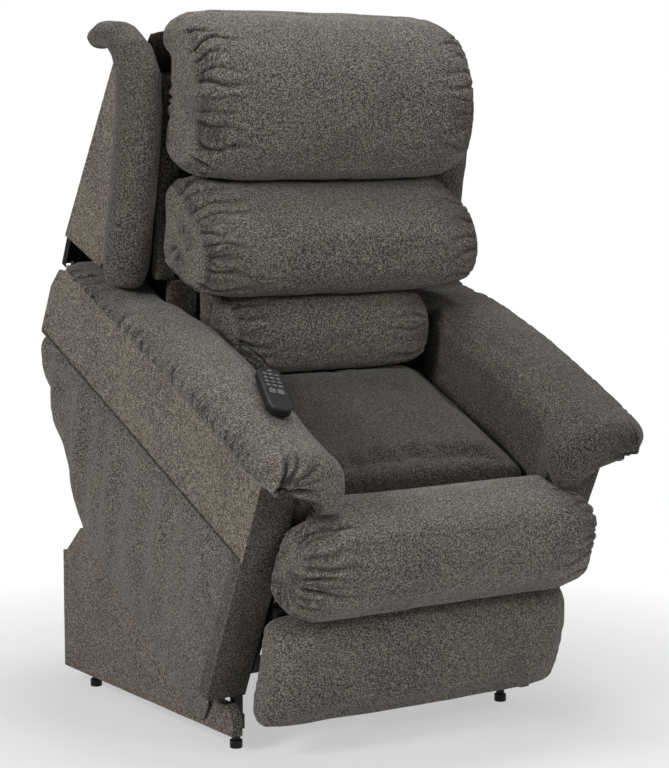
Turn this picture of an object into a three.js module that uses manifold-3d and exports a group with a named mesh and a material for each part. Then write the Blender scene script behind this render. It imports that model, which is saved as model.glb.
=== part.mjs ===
// Lift recliner chair, shown raised and tilted forward.
// Millimetres, +Z up, +X to the right of somebody who faces the chair, -Y towards the front.
// The floor is z = 0. Upholstery that travels with the seat is built in the seated frame of the
// carriage, where y runs to the rear and z runs up, and the whole carriage is then tilted.
import * as THREE from "three";
import { mergeVertices } from "three/addons/utils/BufferGeometryUtils.js";
import Module from "manifold-3d";

const wasm = await Module();
wasm.setup();

// ---------------------------------------------------------------- driving dimensions
const gap = 0.3; // between touching pieces
const boreGap = 0.5; // radial, pin to bore
const centreShift = 36.4; // moves the chair so that its box is centred on the origin
const sides = [
  { name: "left", s: -1 },
  { name: "right", s: 1 },
];

// Widths: the deck fills the room between the arms, and the base stands inside the arms' hollow.
const deck = { halfX: 312, front: 66, rear: 560, low: 295, high: 325 };
const armInX = deck.halfX + 19;
const armWidth = 87;

// Base that stays level on the floor.
const base = { front: -301, rear: 432, outerX: armInX + 43, bottom: 37.5, rearTop: 301, sideTop: 362 };
const rail = { inX: deck.halfX + 10, outX: base.outerX - 24, low: 40, high: 70, rear: 413, front: -262 };
const postTop = 112; // steel upright above each front foot
const footAt = { x: rail.inX + 13, front: -250, rear: 355 };
const foot = { radius: 13, stem: 9, padHeight: 16 };
const crossTube = { midY: 135, rearY: 355, half: 15 };

// Carriage: where it stands when raised, and its tilt.
const raised = { y: -280, z: 113.8, tilt: THREE.MathUtils.degToRad(24.5) };
const liftPivot = { y: 37.4, z: 59 }; // lift arm to base
const carriagePin = { y: 80, z: 60 }; // lift arm to carriage, in the carriage's frame
const plate = { inX: deck.halfX - 6, outX: deck.halfX };
const liftArm = { inX: plate.inX - 16, outX: plate.inX - 6, half: 18 };
const pinR = 9;

// Arms.
const armSeam = 530; // where the pad meets the side panel
const arm = {
  inX: armInX,
  outX: armInX + armWidth,
  board: 15,
  top: armSeam - 10,
  rear: 915,
  hem: 328,
  innerLow: 150,
};
const armFall = { start: arm.rear - 85, knee: arm.rear - 35, drop: 30, rearDrop: 90 };
const skin = 3; // thickness of an upholstered panel
const panelRear = arm.rear + 15;
const frontPanel = 15;

// Seat.
const seat = { halfX: 284, front: 61, rear: 500, crown: 133 };
const roll = { halfX: armInX + 27, front: -140, top: 458, bottom: 238, neck: 60.7, flare: 12 };

// Back.
const backPivot = { y: 738, z: 305 };
const backPlane = { y0: 555, z0: 345, y1: 790, z1: 1060 };
const backBoard = 15;
const boardTop = 1000;
const backRear = { y0: 909, z0: 375, z1: 560, y2: 848, z2: 1010 };
const cheek = { inX: plate.inX - 21, outX: plate.inX - 6 };
const backWideX = 336;
const wingX = { inner: 401, outer: 416 };
const wingLow = armSeam + 36; // lowest edge of the wings and of the wide part of the back
const wingFront = (z) => 732 + (80 * (z - wingLow - 34)) / (896 - wingLow); // front edge of the wing's side panel
const pillowHalf = { lower: 248, middle: 346, head: 346 };

// Leg rest and its linkage.
const legPivot = { y: 70, z: 222 };
const legLink = 205;
const legHinge = { y: -13, z: 112 };
const legOut = { y: -335, z: 268 };
const legPad = {
  halfX: armInX + 29,
  front: -118,
  back: -44,
  low: -14,
  high: 228,
  board: 15,
  lean: 0.17,
  middle: 106,
};
const linkX = { in: 228, out: 234, barIn: 236, barOut: 242, earIn: 244, earOut: 250 };

// Power units.
const liftUnit = { x: 0, pivotY: 350, pivotZ: 104, endY: 250, endZ: 150, tube: 285 };
const carriageTube = { y: 200, z: 176 };
const backUnit = { x: 120, pivotY: 250, pivotZ: 196, lever: 105, tube: 262 };
const reclineAngle = 29;
const liftSwing = 20.5; // turn of the lift arms from lowered to raised

// Handset with fifteen keys, and its lead.
const handset = { length: 150, width: 50, thick: 20, corner: 21, keyUp: 1.6, keyDeep: 2.6 };
const handsetAt = { x: -350, y: 133, z: armSeam + 84, yaw: -17, pitch: 3.5, roll: 5 };
const lead = { diameter: 4.6, sides: 8 };
const grommet = { x: -268, y: 530, radius: 7, height: 14 };

// ---------------------------------------------------------------- colours
const material = (color, roughness, metalness = 0) =>
  new THREE.MeshStandardMaterial({ color, roughness, metalness });
const fabric = material(0x57524e, 0.95);
const steel = material(0x1b1b1c, 0.45, 0.6);
const timber = material(0xb08a5c, 0.8);
const plastic = material(0x1a1a1b, 0.5);
const keyGrey = material(0x8b8d8f, 0.6);

// ---------------------------------------------------------------- shape helpers
function solid(geometry) {
  const g = geometry.clone();
  g.deleteAttribute("normal");
  g.deleteAttribute("uv");
  const m = mergeVertices(g, 1e-4);
  return new wasm.Manifold(
    new wasm.Mesh({
      numProp: 3,
      vertProperties: new Float32Array(m.attributes.position.array),
      triVerts: new Uint32Array(m.index.array),
    }),
  );
}

function shapeOf(made) {
  const mesh = made.getMesh();
  const g = new THREE.BufferGeometry();
  g.setAttribute("position", new THREE.BufferAttribute(mesh.vertProperties, 3));
  g.setIndex(new THREE.BufferAttribute(mesh.triVerts, 1));
  return g;
}

const join = (first, ...rest) => shapeOf(rest.reduce((all, g) => all.add(solid(g)), solid(first)));
const cut = (first, ...tools) =>
  shapeOf(tools.reduce((all, g) => all.subtract(solid(g)), solid(first)));

function box(x0, x1, y0, y1, z0, z1) {
  const g = new THREE.BoxGeometry(Math.abs(x1 - x0), y1 - y0, z1 - z0);
  return g.translate((x0 + x1) / 2, (y0 + y1) / 2, (z0 + z1) / 2);
}

// A round bar along X.
function barX(x0, x1, y, z, radius, segments = 16) {
  const g = new THREE.CylinderGeometry(radius, radius, Math.abs(x1 - x0), segments);
  return g.rotateZ(Math.PI / 2).translate((x0 + x1) / 2, y, z);
}

// A round bar along Y.
function barY(y0, y1, x, z, radius, segments = 16) {
  const g = new THREE.CylinderGeometry(radius, radius, y1 - y0, segments);
  return g.translate(x, (y0 + y1) / 2, z);
}

// A flat plate: an outline in (y, z), with round holes, from x0 to x1.
function slab(points, x0, x1, holes = []) {
  const corners = points.map(([y, z]) => new THREE.Vector2(y, z));
  if (THREE.ShapeUtils.isClockWise(corners)) corners.reverse();
  const shape = new THREE.Shape(corners);
  for (const [y, z, r] of holes) {
    const hole = new THREE.Path();
    hole.absarc(y, z, r, 0, 2 * Math.PI, true);
    shape.holes.push(hole);
  }
  const lo = Math.min(x0, x1);
  const g = new THREE.ExtrudeGeometry(shape, {
    depth: Math.abs(x1 - x0),
    bevelEnabled: false,
    curveSegments: 8,
  });
  const toYZ = new THREE.Matrix4().set(0, 0, 1, lo, 1, 0, 0, 0, 0, 1, 0, 0, 0, 0, 0, 1);
  return g.applyMatrix4(toYZ);
}

// A flat bar with round ends and a bore at each end, between two points in (y, z).
function linkBar(from, to, half, x0, x1, bores) {
  const along = Math.atan2(to.z - from.z, to.y - from.y);
  const steps = 6;
  const points = [];
  for (const [end, start] of [
    [from, along + Math.PI / 2],
    [to, along - Math.PI / 2],
  ])
    for (let i = 0; i <= steps; i++) {
      const a = start + (Math.PI * i) / steps;
      points.push([end.y + half * Math.cos(a), end.z + half * Math.sin(a)]);
    }
  return slab(points, x0, x1, bores);
}

// A closed body from rings of equal counts, each a list of Vector3, with its ends filled.
function loft(rings) {
  const n = rings[0].length;
  const verts = rings.flat().flatMap((p) => [p.x, p.y, p.z]);
  const index = [];
  for (let i = 0; i + 1 < rings.length; i++)
    for (let j = 0; j < n; j++) {
      const a = i * n + j;
      const b = i * n + ((j + 1) % n);
      index.push(a, b, b + n, a, b + n, a + n);
    }
  const first = THREE.ShapeUtils.triangulateShape;
  for (const [k, flip] of [
    [0, true],
    [rings.length - 1, false],
  ]) {
    const ring = rings[k];
    const centre = ring.reduce((c, p) => c.add(p), new THREE.Vector3()).divideScalar(n);
    const u = ring[0].clone().sub(centre).normalize();
    const w = ring[Math.floor(n / 4)].clone().sub(centre);
    const v = new THREE.Vector3().crossVectors(new THREE.Vector3().crossVectors(u, w), u).normalize();
    const flat = ring.map((p) => {
      const d = p.clone().sub(centre);
      return new THREE.Vector2(d.dot(u), d.dot(v));
    });
    const turned = THREE.ShapeUtils.area(flat) > 0;
    for (const [a, b, c] of first(flat, [])) {
      const f = [a, b, c].map((q) => q + k * n);
      index.push(...(flip === turned ? [f[0], f[2], f[1]] : f));
    }
  }
  const g = new THREE.BufferGeometry();
  g.setAttribute("position", new THREE.Float32BufferAttribute(verts, 3));
  g.setIndex(index);
  return outward(g);
}

// Turns a closed body's faces outwards.
function outward(g) {
  const p = g.attributes.position;
  const ix = g.index.array;
  const [a, b, c] = [new THREE.Vector3(), new THREE.Vector3(), new THREE.Vector3()];
  let volume = 0;
  for (let i = 0; i < ix.length; i += 3) {
    a.fromBufferAttribute(p, ix[i]);
    b.fromBufferAttribute(p, ix[i + 1]);
    c.fromBufferAttribute(p, ix[i + 2]);
    volume += a.dot(b.clone().cross(c));
  }
  if (volume < 0) for (let i = 0; i < ix.length; i += 3) [ix[i + 1], ix[i + 2]] = [ix[i + 2], ix[i + 1]];
  return g;
}

// A smooth closed outline in (y, z) through a few points.
function outline(points, count) {
  const curve = new THREE.CatmullRomCurve3(
    points.map(([y, z]) => new THREE.Vector3(0, y, z)),
    true,
    "centripetal",
  );
  return curve.getSpacedPoints(count).slice(0, count);
}

// A bolster that runs along X: its outline shrinks towards drawn-in, rounded ends.
function bolster(points, half, { count = 22, ends = 0.72, crown = 0, fit = (p) => p }) {
  const ring = outline(points, count);
  const centre = ring.reduce((c, p) => c.add(p), new THREE.Vector3()).divideScalar(count);
  const stations = [-1, -0.985, -0.94, -0.86, -0.7, -0.4, 0, 0.4, 0.7, 0.86, 0.94, 0.985, 1];
  return loft(
    stations.map((s) => {
      const k = ends + (1 - ends) * Math.sqrt(1 - Math.pow(Math.abs(s), 6));
      const swell = 1 + crown * (1 - s * s);
      return ring.map((p) => {
        const q = p.clone().sub(centre).multiplyScalar(k * swell).add(centre);
        q.x = s * half;
        return fit(q);
      });
    }),
  );
}

const chair = new THREE.Group();
const placed = new THREE.Group();
placed.position.y = centreShift;
chair.add(placed);

function add(group, name, geometry, look) {
  const mesh = new THREE.Mesh(geometry, look);
  mesh.name = name;
  group.add(mesh);
  return mesh;
}

// ---------------------------------------------------------------- carriage frame of reference
const carriage = new THREE.Group();
carriage.position.set(0, raised.y, raised.z);
carriage.rotation.x = raised.tilt;
placed.add(carriage);
const baseGroup = new THREE.Group();
placed.add(baseGroup);

const turned = (y, z, angle) => ({
  y: y * Math.cos(angle) - z * Math.sin(angle),
  z: y * Math.sin(angle) + z * Math.cos(angle),
});
// From the carriage's frame to the base's.
function fromCarriage(p) {
  const q = turned(p.y, p.z, raised.tilt);
  return { y: raised.y + q.y, z: raised.z + q.z };
}

// ---------------------------------------------------------------- base
{
  const posts = [];
  const rails = [];
  const pins = [];
  for (const { s } of sides) {
    rails.push(box(s * rail.inX, s * rail.outX, rail.front, rail.rear, rail.low, rail.high));
    posts.push(box(s * (footAt.x - 9), s * (footAt.x + 9), rail.front, rail.front + 20, rail.low, postTop));
    pins.push(barX(s * (rail.inX + 4), s * (liftArm.inX - 2), liftPivot.y, liftPivot.z, pinR));
  }
  const cross = [crossTube.midY, crossTube.rearY].map((y) =>
    box(-rail.inX - 4, rail.inX + 4, y - crossTube.half, y + crossTube.half, rail.low, rail.high),
  );
  const ears = [-1, 1].map((s) =>
    slab(
      [
        [liftUnit.pivotY - 16, rail.high - 4],
        [liftUnit.pivotY + 14, rail.high - 4],
        [liftUnit.pivotY + 14, liftUnit.pivotZ + 14],
        [liftUnit.pivotY - 16, liftUnit.pivotZ + 14],
      ],
      s * 34,
      s * 40,
    ),
  );
  const unitPin = barX(-41, 41, liftUnit.pivotY, liftUnit.pivotZ, 6);
  add(baseGroup, "base_frame", join(...rails, ...posts, ...pins, ...cross, ...ears, unitPin), steel);
}

for (const { name, s } of sides)
  for (const [end, y] of [
    ["front", footAt.front],
    ["rear", footAt.rear],
  ]) {
    const profile = [
      [0, 0],
      [foot.radius - 1.5, 0],
      [foot.radius, 1.5],
      [foot.radius, foot.padHeight],
      [foot.stem, foot.padHeight + 2],
      [foot.stem, rail.low - gap],
      [0, rail.low - gap],
    ].map(([r, z]) => new THREE.Vector2(r, z));
    const g = new THREE.LatheGeometry(profile, 20).rotateX(Math.PI / 2).translate(s * footAt.x, y, 0);
    add(baseGroup, `foot_${end}_${name}`, g, plastic);
  }

{
  const outlineSide = [
    [base.front, base.bottom],
    [base.rear - 19, base.bottom],
    [base.rear - 19, base.rearTop + 4],
    [base.rear - 83, base.sideTop],
    [-150, base.sideTop],
    [-190, base.sideTop - 32],
    [-235, 98],
    [base.front + 18, 98],
    [base.front, 71],
  ];
  for (const { name, s } of sides)
    add(
      baseGroup,
      `base_side_panel_${name}`,
      slab(outlineSide, s * (rail.outX + gap), s * base.outerX),
      fabric,
    );
  add(
    baseGroup,
    "base_rear_panel",
    box(-base.outerX, base.outerX, rail.rear + gap + 0.4, base.rear, base.bottom, base.rearTop),
    fabric,
  );
}

{
  const low = rail.high + gap;
  const body = box(-270, -110, 325, 395, low, low + 48);
  const inlet = box(-205, -180, 385, 400, low + 14, low + 32);
  add(baseGroup, "power_box", cut(body, inlet), plastic);
}

// ---------------------------------------------------------------- lift arms
const pinWorld = fromCarriage(carriagePin);
// Each arm carries the carriage's pin in a short slot.
const slotLength = 11.5;
const slotEnd = (() => {
  const d = Math.hypot(pinWorld.y - liftPivot.y, pinWorld.z - liftPivot.z);
  const k = 1 - slotLength / d;
  return { y: liftPivot.y + (pinWorld.y - liftPivot.y) * k, z: liftPivot.z + (pinWorld.z - liftPivot.z) * k };
})();
for (const { name, s } of sides)
  add(
    baseGroup,
    `lift_arm_${name}`,
    cut(
      linkBar(liftPivot, pinWorld, liftArm.half, s * liftArm.inX, s * liftArm.outX, [
        [liftPivot.y, liftPivot.z, pinR + boreGap],
      ]),
      linkBar(slotEnd, pinWorld, pinR + 1.2, s * (liftArm.inX - 2), s * (liftArm.outX + 2), []),
    ),
    steel,
  );

// Where the carriage stands when lowered: the lift arms swing down by liftSwing.
const lowered = (() => {
  const a = THREE.MathUtils.degToRad(liftSwing);
  const d = turned(pinWorld.y - liftPivot.y, pinWorld.z - liftPivot.z, a);
  const pin = { y: liftPivot.y + d.y, z: liftPivot.z + d.z };
  return { y: pin.y - carriagePin.y, z: pin.z - carriagePin.z };
})();
// The point about which the carriage turns from one stand to the other.
const pole = (() => {
  const [dy, dz] = [lowered.y - raised.y, lowered.z - raised.z];
  const k = 0.5 / Math.tan(raised.tilt / 2);
  return { y: (lowered.y + raised.y) / 2 + dz * k, z: (lowered.z + raised.z) / 2 - dy * k };
})();

// ---------------------------------------------------------------- power units
// A motor housing with a bored tube, and the rod that slides in it, from a pivot to an end.
function powerUnit(group, names, unit, pivot, end) {
  const length = Math.hypot(end.y - pivot.y, end.z - pivot.z);
  const frame = new THREE.Group();
  frame.position.set(unit.x, pivot.y, pivot.z);
  frame.rotation.x = Math.atan2(end.z - pivot.z, end.y - pivot.y) - Math.PI;
  group.add(frame);
  const [tubeR, rodR, eye, fork] = [19, 9, 12, 58];
  const mouth = -unit.tube - 60;
  const gearbox = box(-26, 26, -78, 4, -27, 27);
  const hub = barX(-26, 26, 0, 0, 16, 16);
  const can = barX(20, 30, -40, 0, 22, 16);
  const tube = barY(mouth, -70, 0, 0, tubeR, 16);
  const pinBore = barX(-60, 60, 0, 0, 6 + boreGap, 12);
  const bore = barY(mouth - 1, -90, 0, 0, rodR + 0.7, 16);
  add(frame, names[0], cut(join(gearbox, hub, can, tube), pinBore, bore), plastic);
  const rodStart = mouth + 40;
  const rod = barY(-length + fork - 4, rodStart, 0, 0, rodR, 16);
  const block = box(-15, 15, -length + fork - 16, -length + fork, -12, 12);
  const ears = [-1, 1].map((s) =>
    slab(
      [
        [-length - eye, -eye],
        [-length + fork - 8, -eye],
        [-length + fork - 8, eye],
        [-length - eye, eye],
      ],
      s * 9,
      s * 15,
    ),
  );
  const pin = barX(-15, 15, -length, 0, 5, 12);
  add(frame, names[1], join(rod, block, ...ears, pin), steel);
}

const liftEnd = fromCarriage({ y: liftUnit.endY, z: liftUnit.endZ });
const liftEndLow = { y: lowered.y + liftUnit.endY, z: lowered.z + liftUnit.endZ };
const liftBase = { y: liftUnit.pivotY, z: liftUnit.pivotZ };
powerUnit(baseGroup, ["lift_motor", "lift_rod"], liftUnit, liftBase, liftEnd);

const lever = { y: backPivot.y, z: backPivot.z - backUnit.lever };
const backBase = { y: backUnit.pivotY, z: backUnit.pivotZ };
powerUnit(carriage, ["recline_motor", "recline_rod"], backUnit, backBase, lever);

// ---------------------------------------------------------------- carriage
{
  const parts = [];
  for (const { s } of sides) {
    parts.push(
      slab(
        [
          [20, 40],
          [130, 40],
          [300, 110],
          [640, 130],
          [735, 264],
          [768, 278],
          [768, 335],
          [700, 335],
          [606, 262],
          [540, 240],
          [540, deck.low - gap],
          [480, deck.low - gap],
          [480, 240],
          [150, 240],
          [150, deck.low - gap],
          [90, deck.low - gap],
          [90, 250],
          [20, 250],
        ],
        s * plate.inX,
        s * plate.outX,
      ),
      barX(s * plate.outX, s * (liftArm.inX - 2), carriagePin.y, carriagePin.z, pinR),
      barX(s * plate.outX, s * (cheek.inX - 2), backPivot.y, backPivot.z, pinR),
      box(s * (plate.outX - 3), s * (arm.inX - gap), 40, 70, 200, 230),
      box(s * (plate.outX - 3), s * (arm.inX - gap), 560, 590, 200, 230),
    );
  }
  parts.push(barX(-plate.outX, plate.outX, legPivot.y, legPivot.z, 10));
  parts.push(barX(-plate.outX, plate.outX, carriageTube.y, carriageTube.z, 13));
  parts.push(barX(-plate.outX, plate.outX, 600, 152, 13));
  // Tab that the lift rod's fork straddles, with a slot in which the fork's pin floats.
  const slotEnds = [liftUnit.endY, liftUnit.endY - 18];
  const [slotBack, slotFront] = slotEnds.map((y) => ({ y, z: liftUnit.endZ - 0.5 }));
  const liftTab = linkBar(carriageTube, slotFront, 15, -8, 8, []);
  const tabEnd = linkBar(slotFront, slotBack, 15, -8, 8, []);
  const clear = linkBar(slotFront, slotBack, 7.2, -20, 20, []);
  const backEnd = { y: backUnit.pivotY, z: backUnit.pivotZ };
  const backEars = [-1, 1].map((e) =>
    linkBar(carriageTube, backEnd, 12, backUnit.x + e * 34, backUnit.x + e * 40, []),
  );
  const backPin = barX(backUnit.x - 41, backUnit.x + 41, backUnit.pivotY, backUnit.pivotZ, 6);
  const whole = join(...parts, liftTab, tabEnd, ...backEars, backPin);
  add(carriage, "carriage_frame", cut(whole, clear), steel);
}

{
  const board = box(-deck.halfX, deck.halfX, deck.front, deck.rear, deck.low, deck.high);
  const boss = new THREE.CylinderGeometry(grommet.radius, grommet.radius + 1, grommet.height + 4, 14);
  boss.rotateX(Math.PI / 2).translate(grommet.x, grommet.y, deck.high + grommet.height / 2 - 2);
  add(carriage, "seat_frame", join(board, boss), timber);
}

// Arm pad: its outline across the arm at a place along it.
const padNose = { x: armInX + 41, z: armSeam + 22, front: -62, round: 50 };
const padRear = arm.rear - 31;
const padTail = padRear - 64; // the pad narrows behind this
const padStations = [
  ...[padNose.front, -59, -50, -34, -12, 4, 20, 80, 180, 320, 470, 520, 540, 620, 680, 760],
  ...[0, 10, 30, 48, 60, 64].map((past) => padTail + past),
].filter((y, i, all) => i === 0 || y > all[i - 1]);
const mix = (pairs, y) => {
  const i = Math.max(1, pairs.findIndex(([at]) => at >= y));
  const [[a, va], [b, vb]] = [pairs[i - 1], pairs[i]];
  return va + ((vb - va) * (y - a)) / (b - a);
};
const overSeam = (pairs) => pairs.map(([y, rise]) => [y, armSeam + rise]);
const crownPairs = overSeam([
  ...[[0, 70], [150, 83], [400, 83], [540, 62], [620, 36]],
  ...[[padTail - 80, 30], [padTail, 20], [padTail + 80, -12]],
]);
const padCrown = (y) => mix(crownPairs, y);
const panelLine = overSeam([[0, 0], [padTail, 12], [padTail + 48, -3], [padTail + 80, -32]]);
const panelTop = (y) => mix(panelLine, y);
const frameLine = [
  [armFall.start, arm.top],
  [armFall.knee, arm.top - armFall.drop],
  [arm.rear, arm.top - armFall.rearDrop],
];
const frameTop = (y) => mix([[0, arm.top], ...frameLine], y);
const innerLine = [[0, 54], [470, 54], [520, 26], [padTail + 80, 26]].map(([y, over]) => [y, arm.inX - over]);
const padInner = (y) => mix(innerLine, y);
const apronLine = [[0, 0.32], [4, 0.32], [20, 1], [padTail - 60, 1], [padTail, 0.3], [padTail + 80, 0.1]];
const apron = (y) => mix(apronLine, y);
const padLip = (y) => mix([[0, 0.5], [150, 0.62], [padTail + 80, 0.62]], y);
function padSection(y) {
  const c = padCrown(y);
  const inner = padInner(y);
  const edge = panelTop(y) + 0.6;
  const up = (share) => edge + (c - edge) * share;
  const under = frameTop(y) + gap + 0.1;
  const down = (depth) => under - depth * apron(y);
  const out = arm.outX;
  return [
    [out + 5, edge],
    [out + 34, up(0.04)],
    [out + 53, up(0.22)],
    [out + 57, up(0.48)],
    [out + 44, up(0.78)],
    [out + 12, up(0.95)],
    [out - 38, c],
    [arm.inX + 1, up(padLip(y) + 0.3)],
    [inner + 16, up(padLip(y))],
    [inner, up(padLip(y) - 0.42)],
    [inner + 2, down(24)],
    [inner + 9, down(50)],
    [inner + 11, down(90)],
    [inner + 17, down(116)],
    [inner + 22, down(122)],
    [arm.inX - gap, down(120)],
    [arm.inX - gap, under],
    [arm.outX - 0.4, under],
    [arm.outX - 0.2, edge - 0.1],
  ];
}

// Arms: a timber frame, a side panel, a front panel and a pad.
for (const { name, s } of sides) {
  const outer = slab(
    [
      [frontPanel + gap, arm.hem],
      [frontPanel + gap, arm.top],
      ...frameLine,
      [arm.rear, arm.hem],
    ],
    s * (arm.outX - arm.board),
    s * arm.outX,
  );
  const inner = slab(
    [
      [frontPanel + gap, arm.innerLow],
      [frontPanel + gap, arm.top],
      ...frameLine,
      [arm.rear - 15, 345],
      [750, 275],
      [600, arm.innerLow],
    ],
    s * arm.inX,
    s * (arm.inX + arm.board),
  );
  const top = box(s * arm.inX, s * arm.outX, frontPanel + gap, armFall.start, arm.top - arm.board, arm.top);
  const front = box(s * arm.inX, s * arm.outX, frontPanel + gap, frontPanel + 18, 124, arm.top);
  add(carriage, `arm_frame_${name}`, join(outer, inner, top, front), timber);

  add(
    carriage,
    `side_panel_${name}`,
    slab(
      [
        [0, arm.hem],
        ...panelLine,
        [panelRear - 5, armSeam - 90],
        [panelRear, arm.hem],
      ],
      s * (arm.outX + gap),
      s * (arm.outX + gap + skin),
    ),
    fabric,
  );
  add(
    carriage,
    `arm_front_panel_${name}`,
    join(
      box(s * arm.inX, s * (arm.outX + gap + skin), 0, 5, 0, arm.hem - gap),
      box(s * arm.inX, s * (arm.outX + gap + skin), 0, frontPanel, 124, arm.hem - gap),
      box(s * arm.inX, s * arm.outX, 0, frontPanel, arm.hem - 2, arm.top),
      box(s * (arm.outX + gap), s * (arm.outX + gap + skin), 0, frontPanel + 20, 0, arm.hem - gap),
    ),
    fabric,
  );

  // Pad: rings across the arm, from its rounded front to its rear.
  const rings = padStations.map((y) => {
    const noseStart = padNose.front + padNose.round;
    const past =
      y < noseStart ? (y - noseStart) / padNose.round : Math.max(y - padTail, 0) / (padRear - padTail);
    const k = Math.sqrt(Math.max(1 - past ** 2, 0)) * 0.62 + 0.38;
    const noseZ = y < 0 ? padNose.z : (padCrown(y) + panelTop(y)) / 2;
    return padSection(Math.max(y, 0)).map(([x, z]) => {
      const pz = noseZ + (z - noseZ) * k;
      const towards = y > 0 && x < arm.inX ? arm.inX - gap : padNose.x;
      const px = towards + (x - towards) * k;
      return new THREE.Vector3(s * px, y, pz);
    });
  });
  add(carriage, `arm_pad_${name}`, loft(rings), fabric);
}

// Seat cushion: crowned, with drawn-in sides, flat where it rests on the deck.
{
  const count = 24;
  const under = deck.high + gap;
  const rings = [0, 0.03, 0.1, 0.25, 0.5, 0.75, 0.92, 1].map((t) => {
    const y = seat.front + (seat.rear - seat.front) * t;
    const k = 0.9 + 0.1 * Math.sqrt(1 - Math.pow(Math.abs(2 * t - 1), 6));
    return Array.from({ length: count }, (_, i) => {
      const a = (2 * Math.PI * i) / count;
      const [c, d] = [Math.cos(a), Math.sin(a)];
      const x = seat.halfX * Math.sign(c) * Math.pow(Math.abs(c), 0.42) * (0.97 + 0.03 * k);
      const h = seat.crown * k;
      return new THREE.Vector3(x, y, under + h / 2 + (h / 2) * Math.sign(d) * Math.pow(Math.abs(d), 0.5));
    });
  });
  add(carriage, "seat_cushion", loft(rings), fabric);
}

// Front roll: wide in front of the arms, with a neck between them.
{
  const count = 24;
  const middle = (roll.top + roll.bottom) / 2;
  const high = (roll.top - roll.bottom) / 2;
  const centreY = -64;
  const ring = (x, neck, k) =>
    Array.from({ length: count }, (_, i) => {
      const a = (2 * Math.PI * i) / count;
      const [c, d] = [Math.cos(a), Math.sin(a)];
      const wide = c < 0 ? centreY - roll.front : neck - centreY;
      const y = centreY + wide * Math.sign(c) * Math.pow(Math.abs(c), 0.62) * k;
      const z = middle + high * Math.sign(d) * Math.pow(Math.abs(d), 0.7) * k;
      const flare = Math.abs(x) > 284 ? Math.sign(x) * roll.flare * ((middle - z) / high) : 0;
      return new THREE.Vector3(x + flare, y, z);
    });
  const rings = [];
  for (const t of [-1, -0.985, -0.94, -0.86])
    rings.push(ring(t * roll.halfX, -3, 0.62 + 0.38 * Math.sqrt(1 - Math.pow(-t, 6))));
  rings.push(ring(-286, -3, 0.99));
  for (const x of [-283, -160, 0, 160, 283]) rings.push(ring(x, roll.neck, 1));
  rings.push(ring(286, -3, 0.99));
  for (const t of [0.86, 0.94, 0.985, 1])
    rings.push(ring(t * roll.halfX, -3, 0.62 + 0.38 * Math.sqrt(1 - Math.pow(t, 6))));
  add(carriage, "seat_front_roll", loft(rings), fabric);
}

// ---------------------------------------------------------------- back
const slope = (backPlane.y1 - backPlane.y0) / (backPlane.z1 - backPlane.z0);
const planeAt = (z) => backPlane.y0 + (z - backPlane.z0) * slope;
const backEdge = (z) =>
  z < backRear.z1
    ? backRear.y0
    : backRear.y0 + ((z - backRear.z1) * (backRear.y2 - backRear.y0)) / (backRear.z2 - backRear.z1);

{
  const board = (x, z0, z1) =>
    slab(
      [
        [planeAt(z0), z0],
        [planeAt(z0) + backBoard, z0],
        [planeAt(z1) + backBoard, z1],
        [planeAt(z1), z1],
      ],
      -x,
      x,
    );
  const parts = [board(cheek.outX, backPlane.z0, 612), board(backWideX, 606, boardTop)];
  for (const { s } of sides)
    parts.push(
      slab(
        [
          [planeAt(backPlane.z0), backPlane.z0],
          [backPivot.y - 24, backPivot.z - 20],
          [backPivot.y + 20, backPivot.z - 20],
          [backPivot.y + 62, backPivot.z + 25],
          [backRear.y0 - gap, backRear.z0],
          [backRear.y0 - gap, backRear.z1],
          [backEdge(boardTop) - gap, boardTop],
          [planeAt(boardTop), boardTop],
        ],
        s * cheek.inX,
        s * cheek.outX,
        [[backPivot.y, backPivot.z, pinR + boreGap]],
      ),
    );
  for (const [z, from] of [
    [640, Math.max(750, wingFront(640) + 5)],
    [960, 835],
  ])
    parts.push(box(-wingX.inner + gap, wingX.inner - gap, from, backEdge(z + 22) - 2, z, z + 22));
  parts.push(box(-cheek.outX, cheek.outX, 640, 840, backPlane.z0, backPlane.z0 + 18));
  parts.push(
    slab(
      [
        [backPivot.y - 34, backPlane.z0 + 4],
        [backPivot.y + 18, backPlane.z0 + 4],
        [backPivot.y + 18, lever.z - 18],
        [backPivot.y - 18, lever.z - 18],
      ],
      backUnit.x - 8,
      backUnit.x + 8,
      [[lever.y, lever.z, 13]],
    ),
  );
  add(carriage, "back_frame", join(...parts), timber);

  const outerThick = 8;
  const strip = (z0, z1) => {
    const bend = z0 + 1 < backRear.z1 && backRear.z1 < z1 ? [backRear.z1] : [];
    return [
      [backEdge(z0), z0],
      ...[z0, ...bend, z1].map((z) => [backEdge(z) + outerThick, z]),
      ...[z1, ...bend].map((z) => [backEdge(z), z]),
    ];
  };
  const lower = slab(strip(backRear.z0, backRear.z1), -cheek.outX, cheek.outX);
  const middle = slab(strip(backRear.z1 - 0.01, wingLow + 14), -cheek.outX, cheek.outX);
  const upper = slab(strip(wingLow, 990), -wingX.outer, wingX.outer);
  add(carriage, "back_outer_panel", join(lower, middle, upper), fabric);
}

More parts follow.
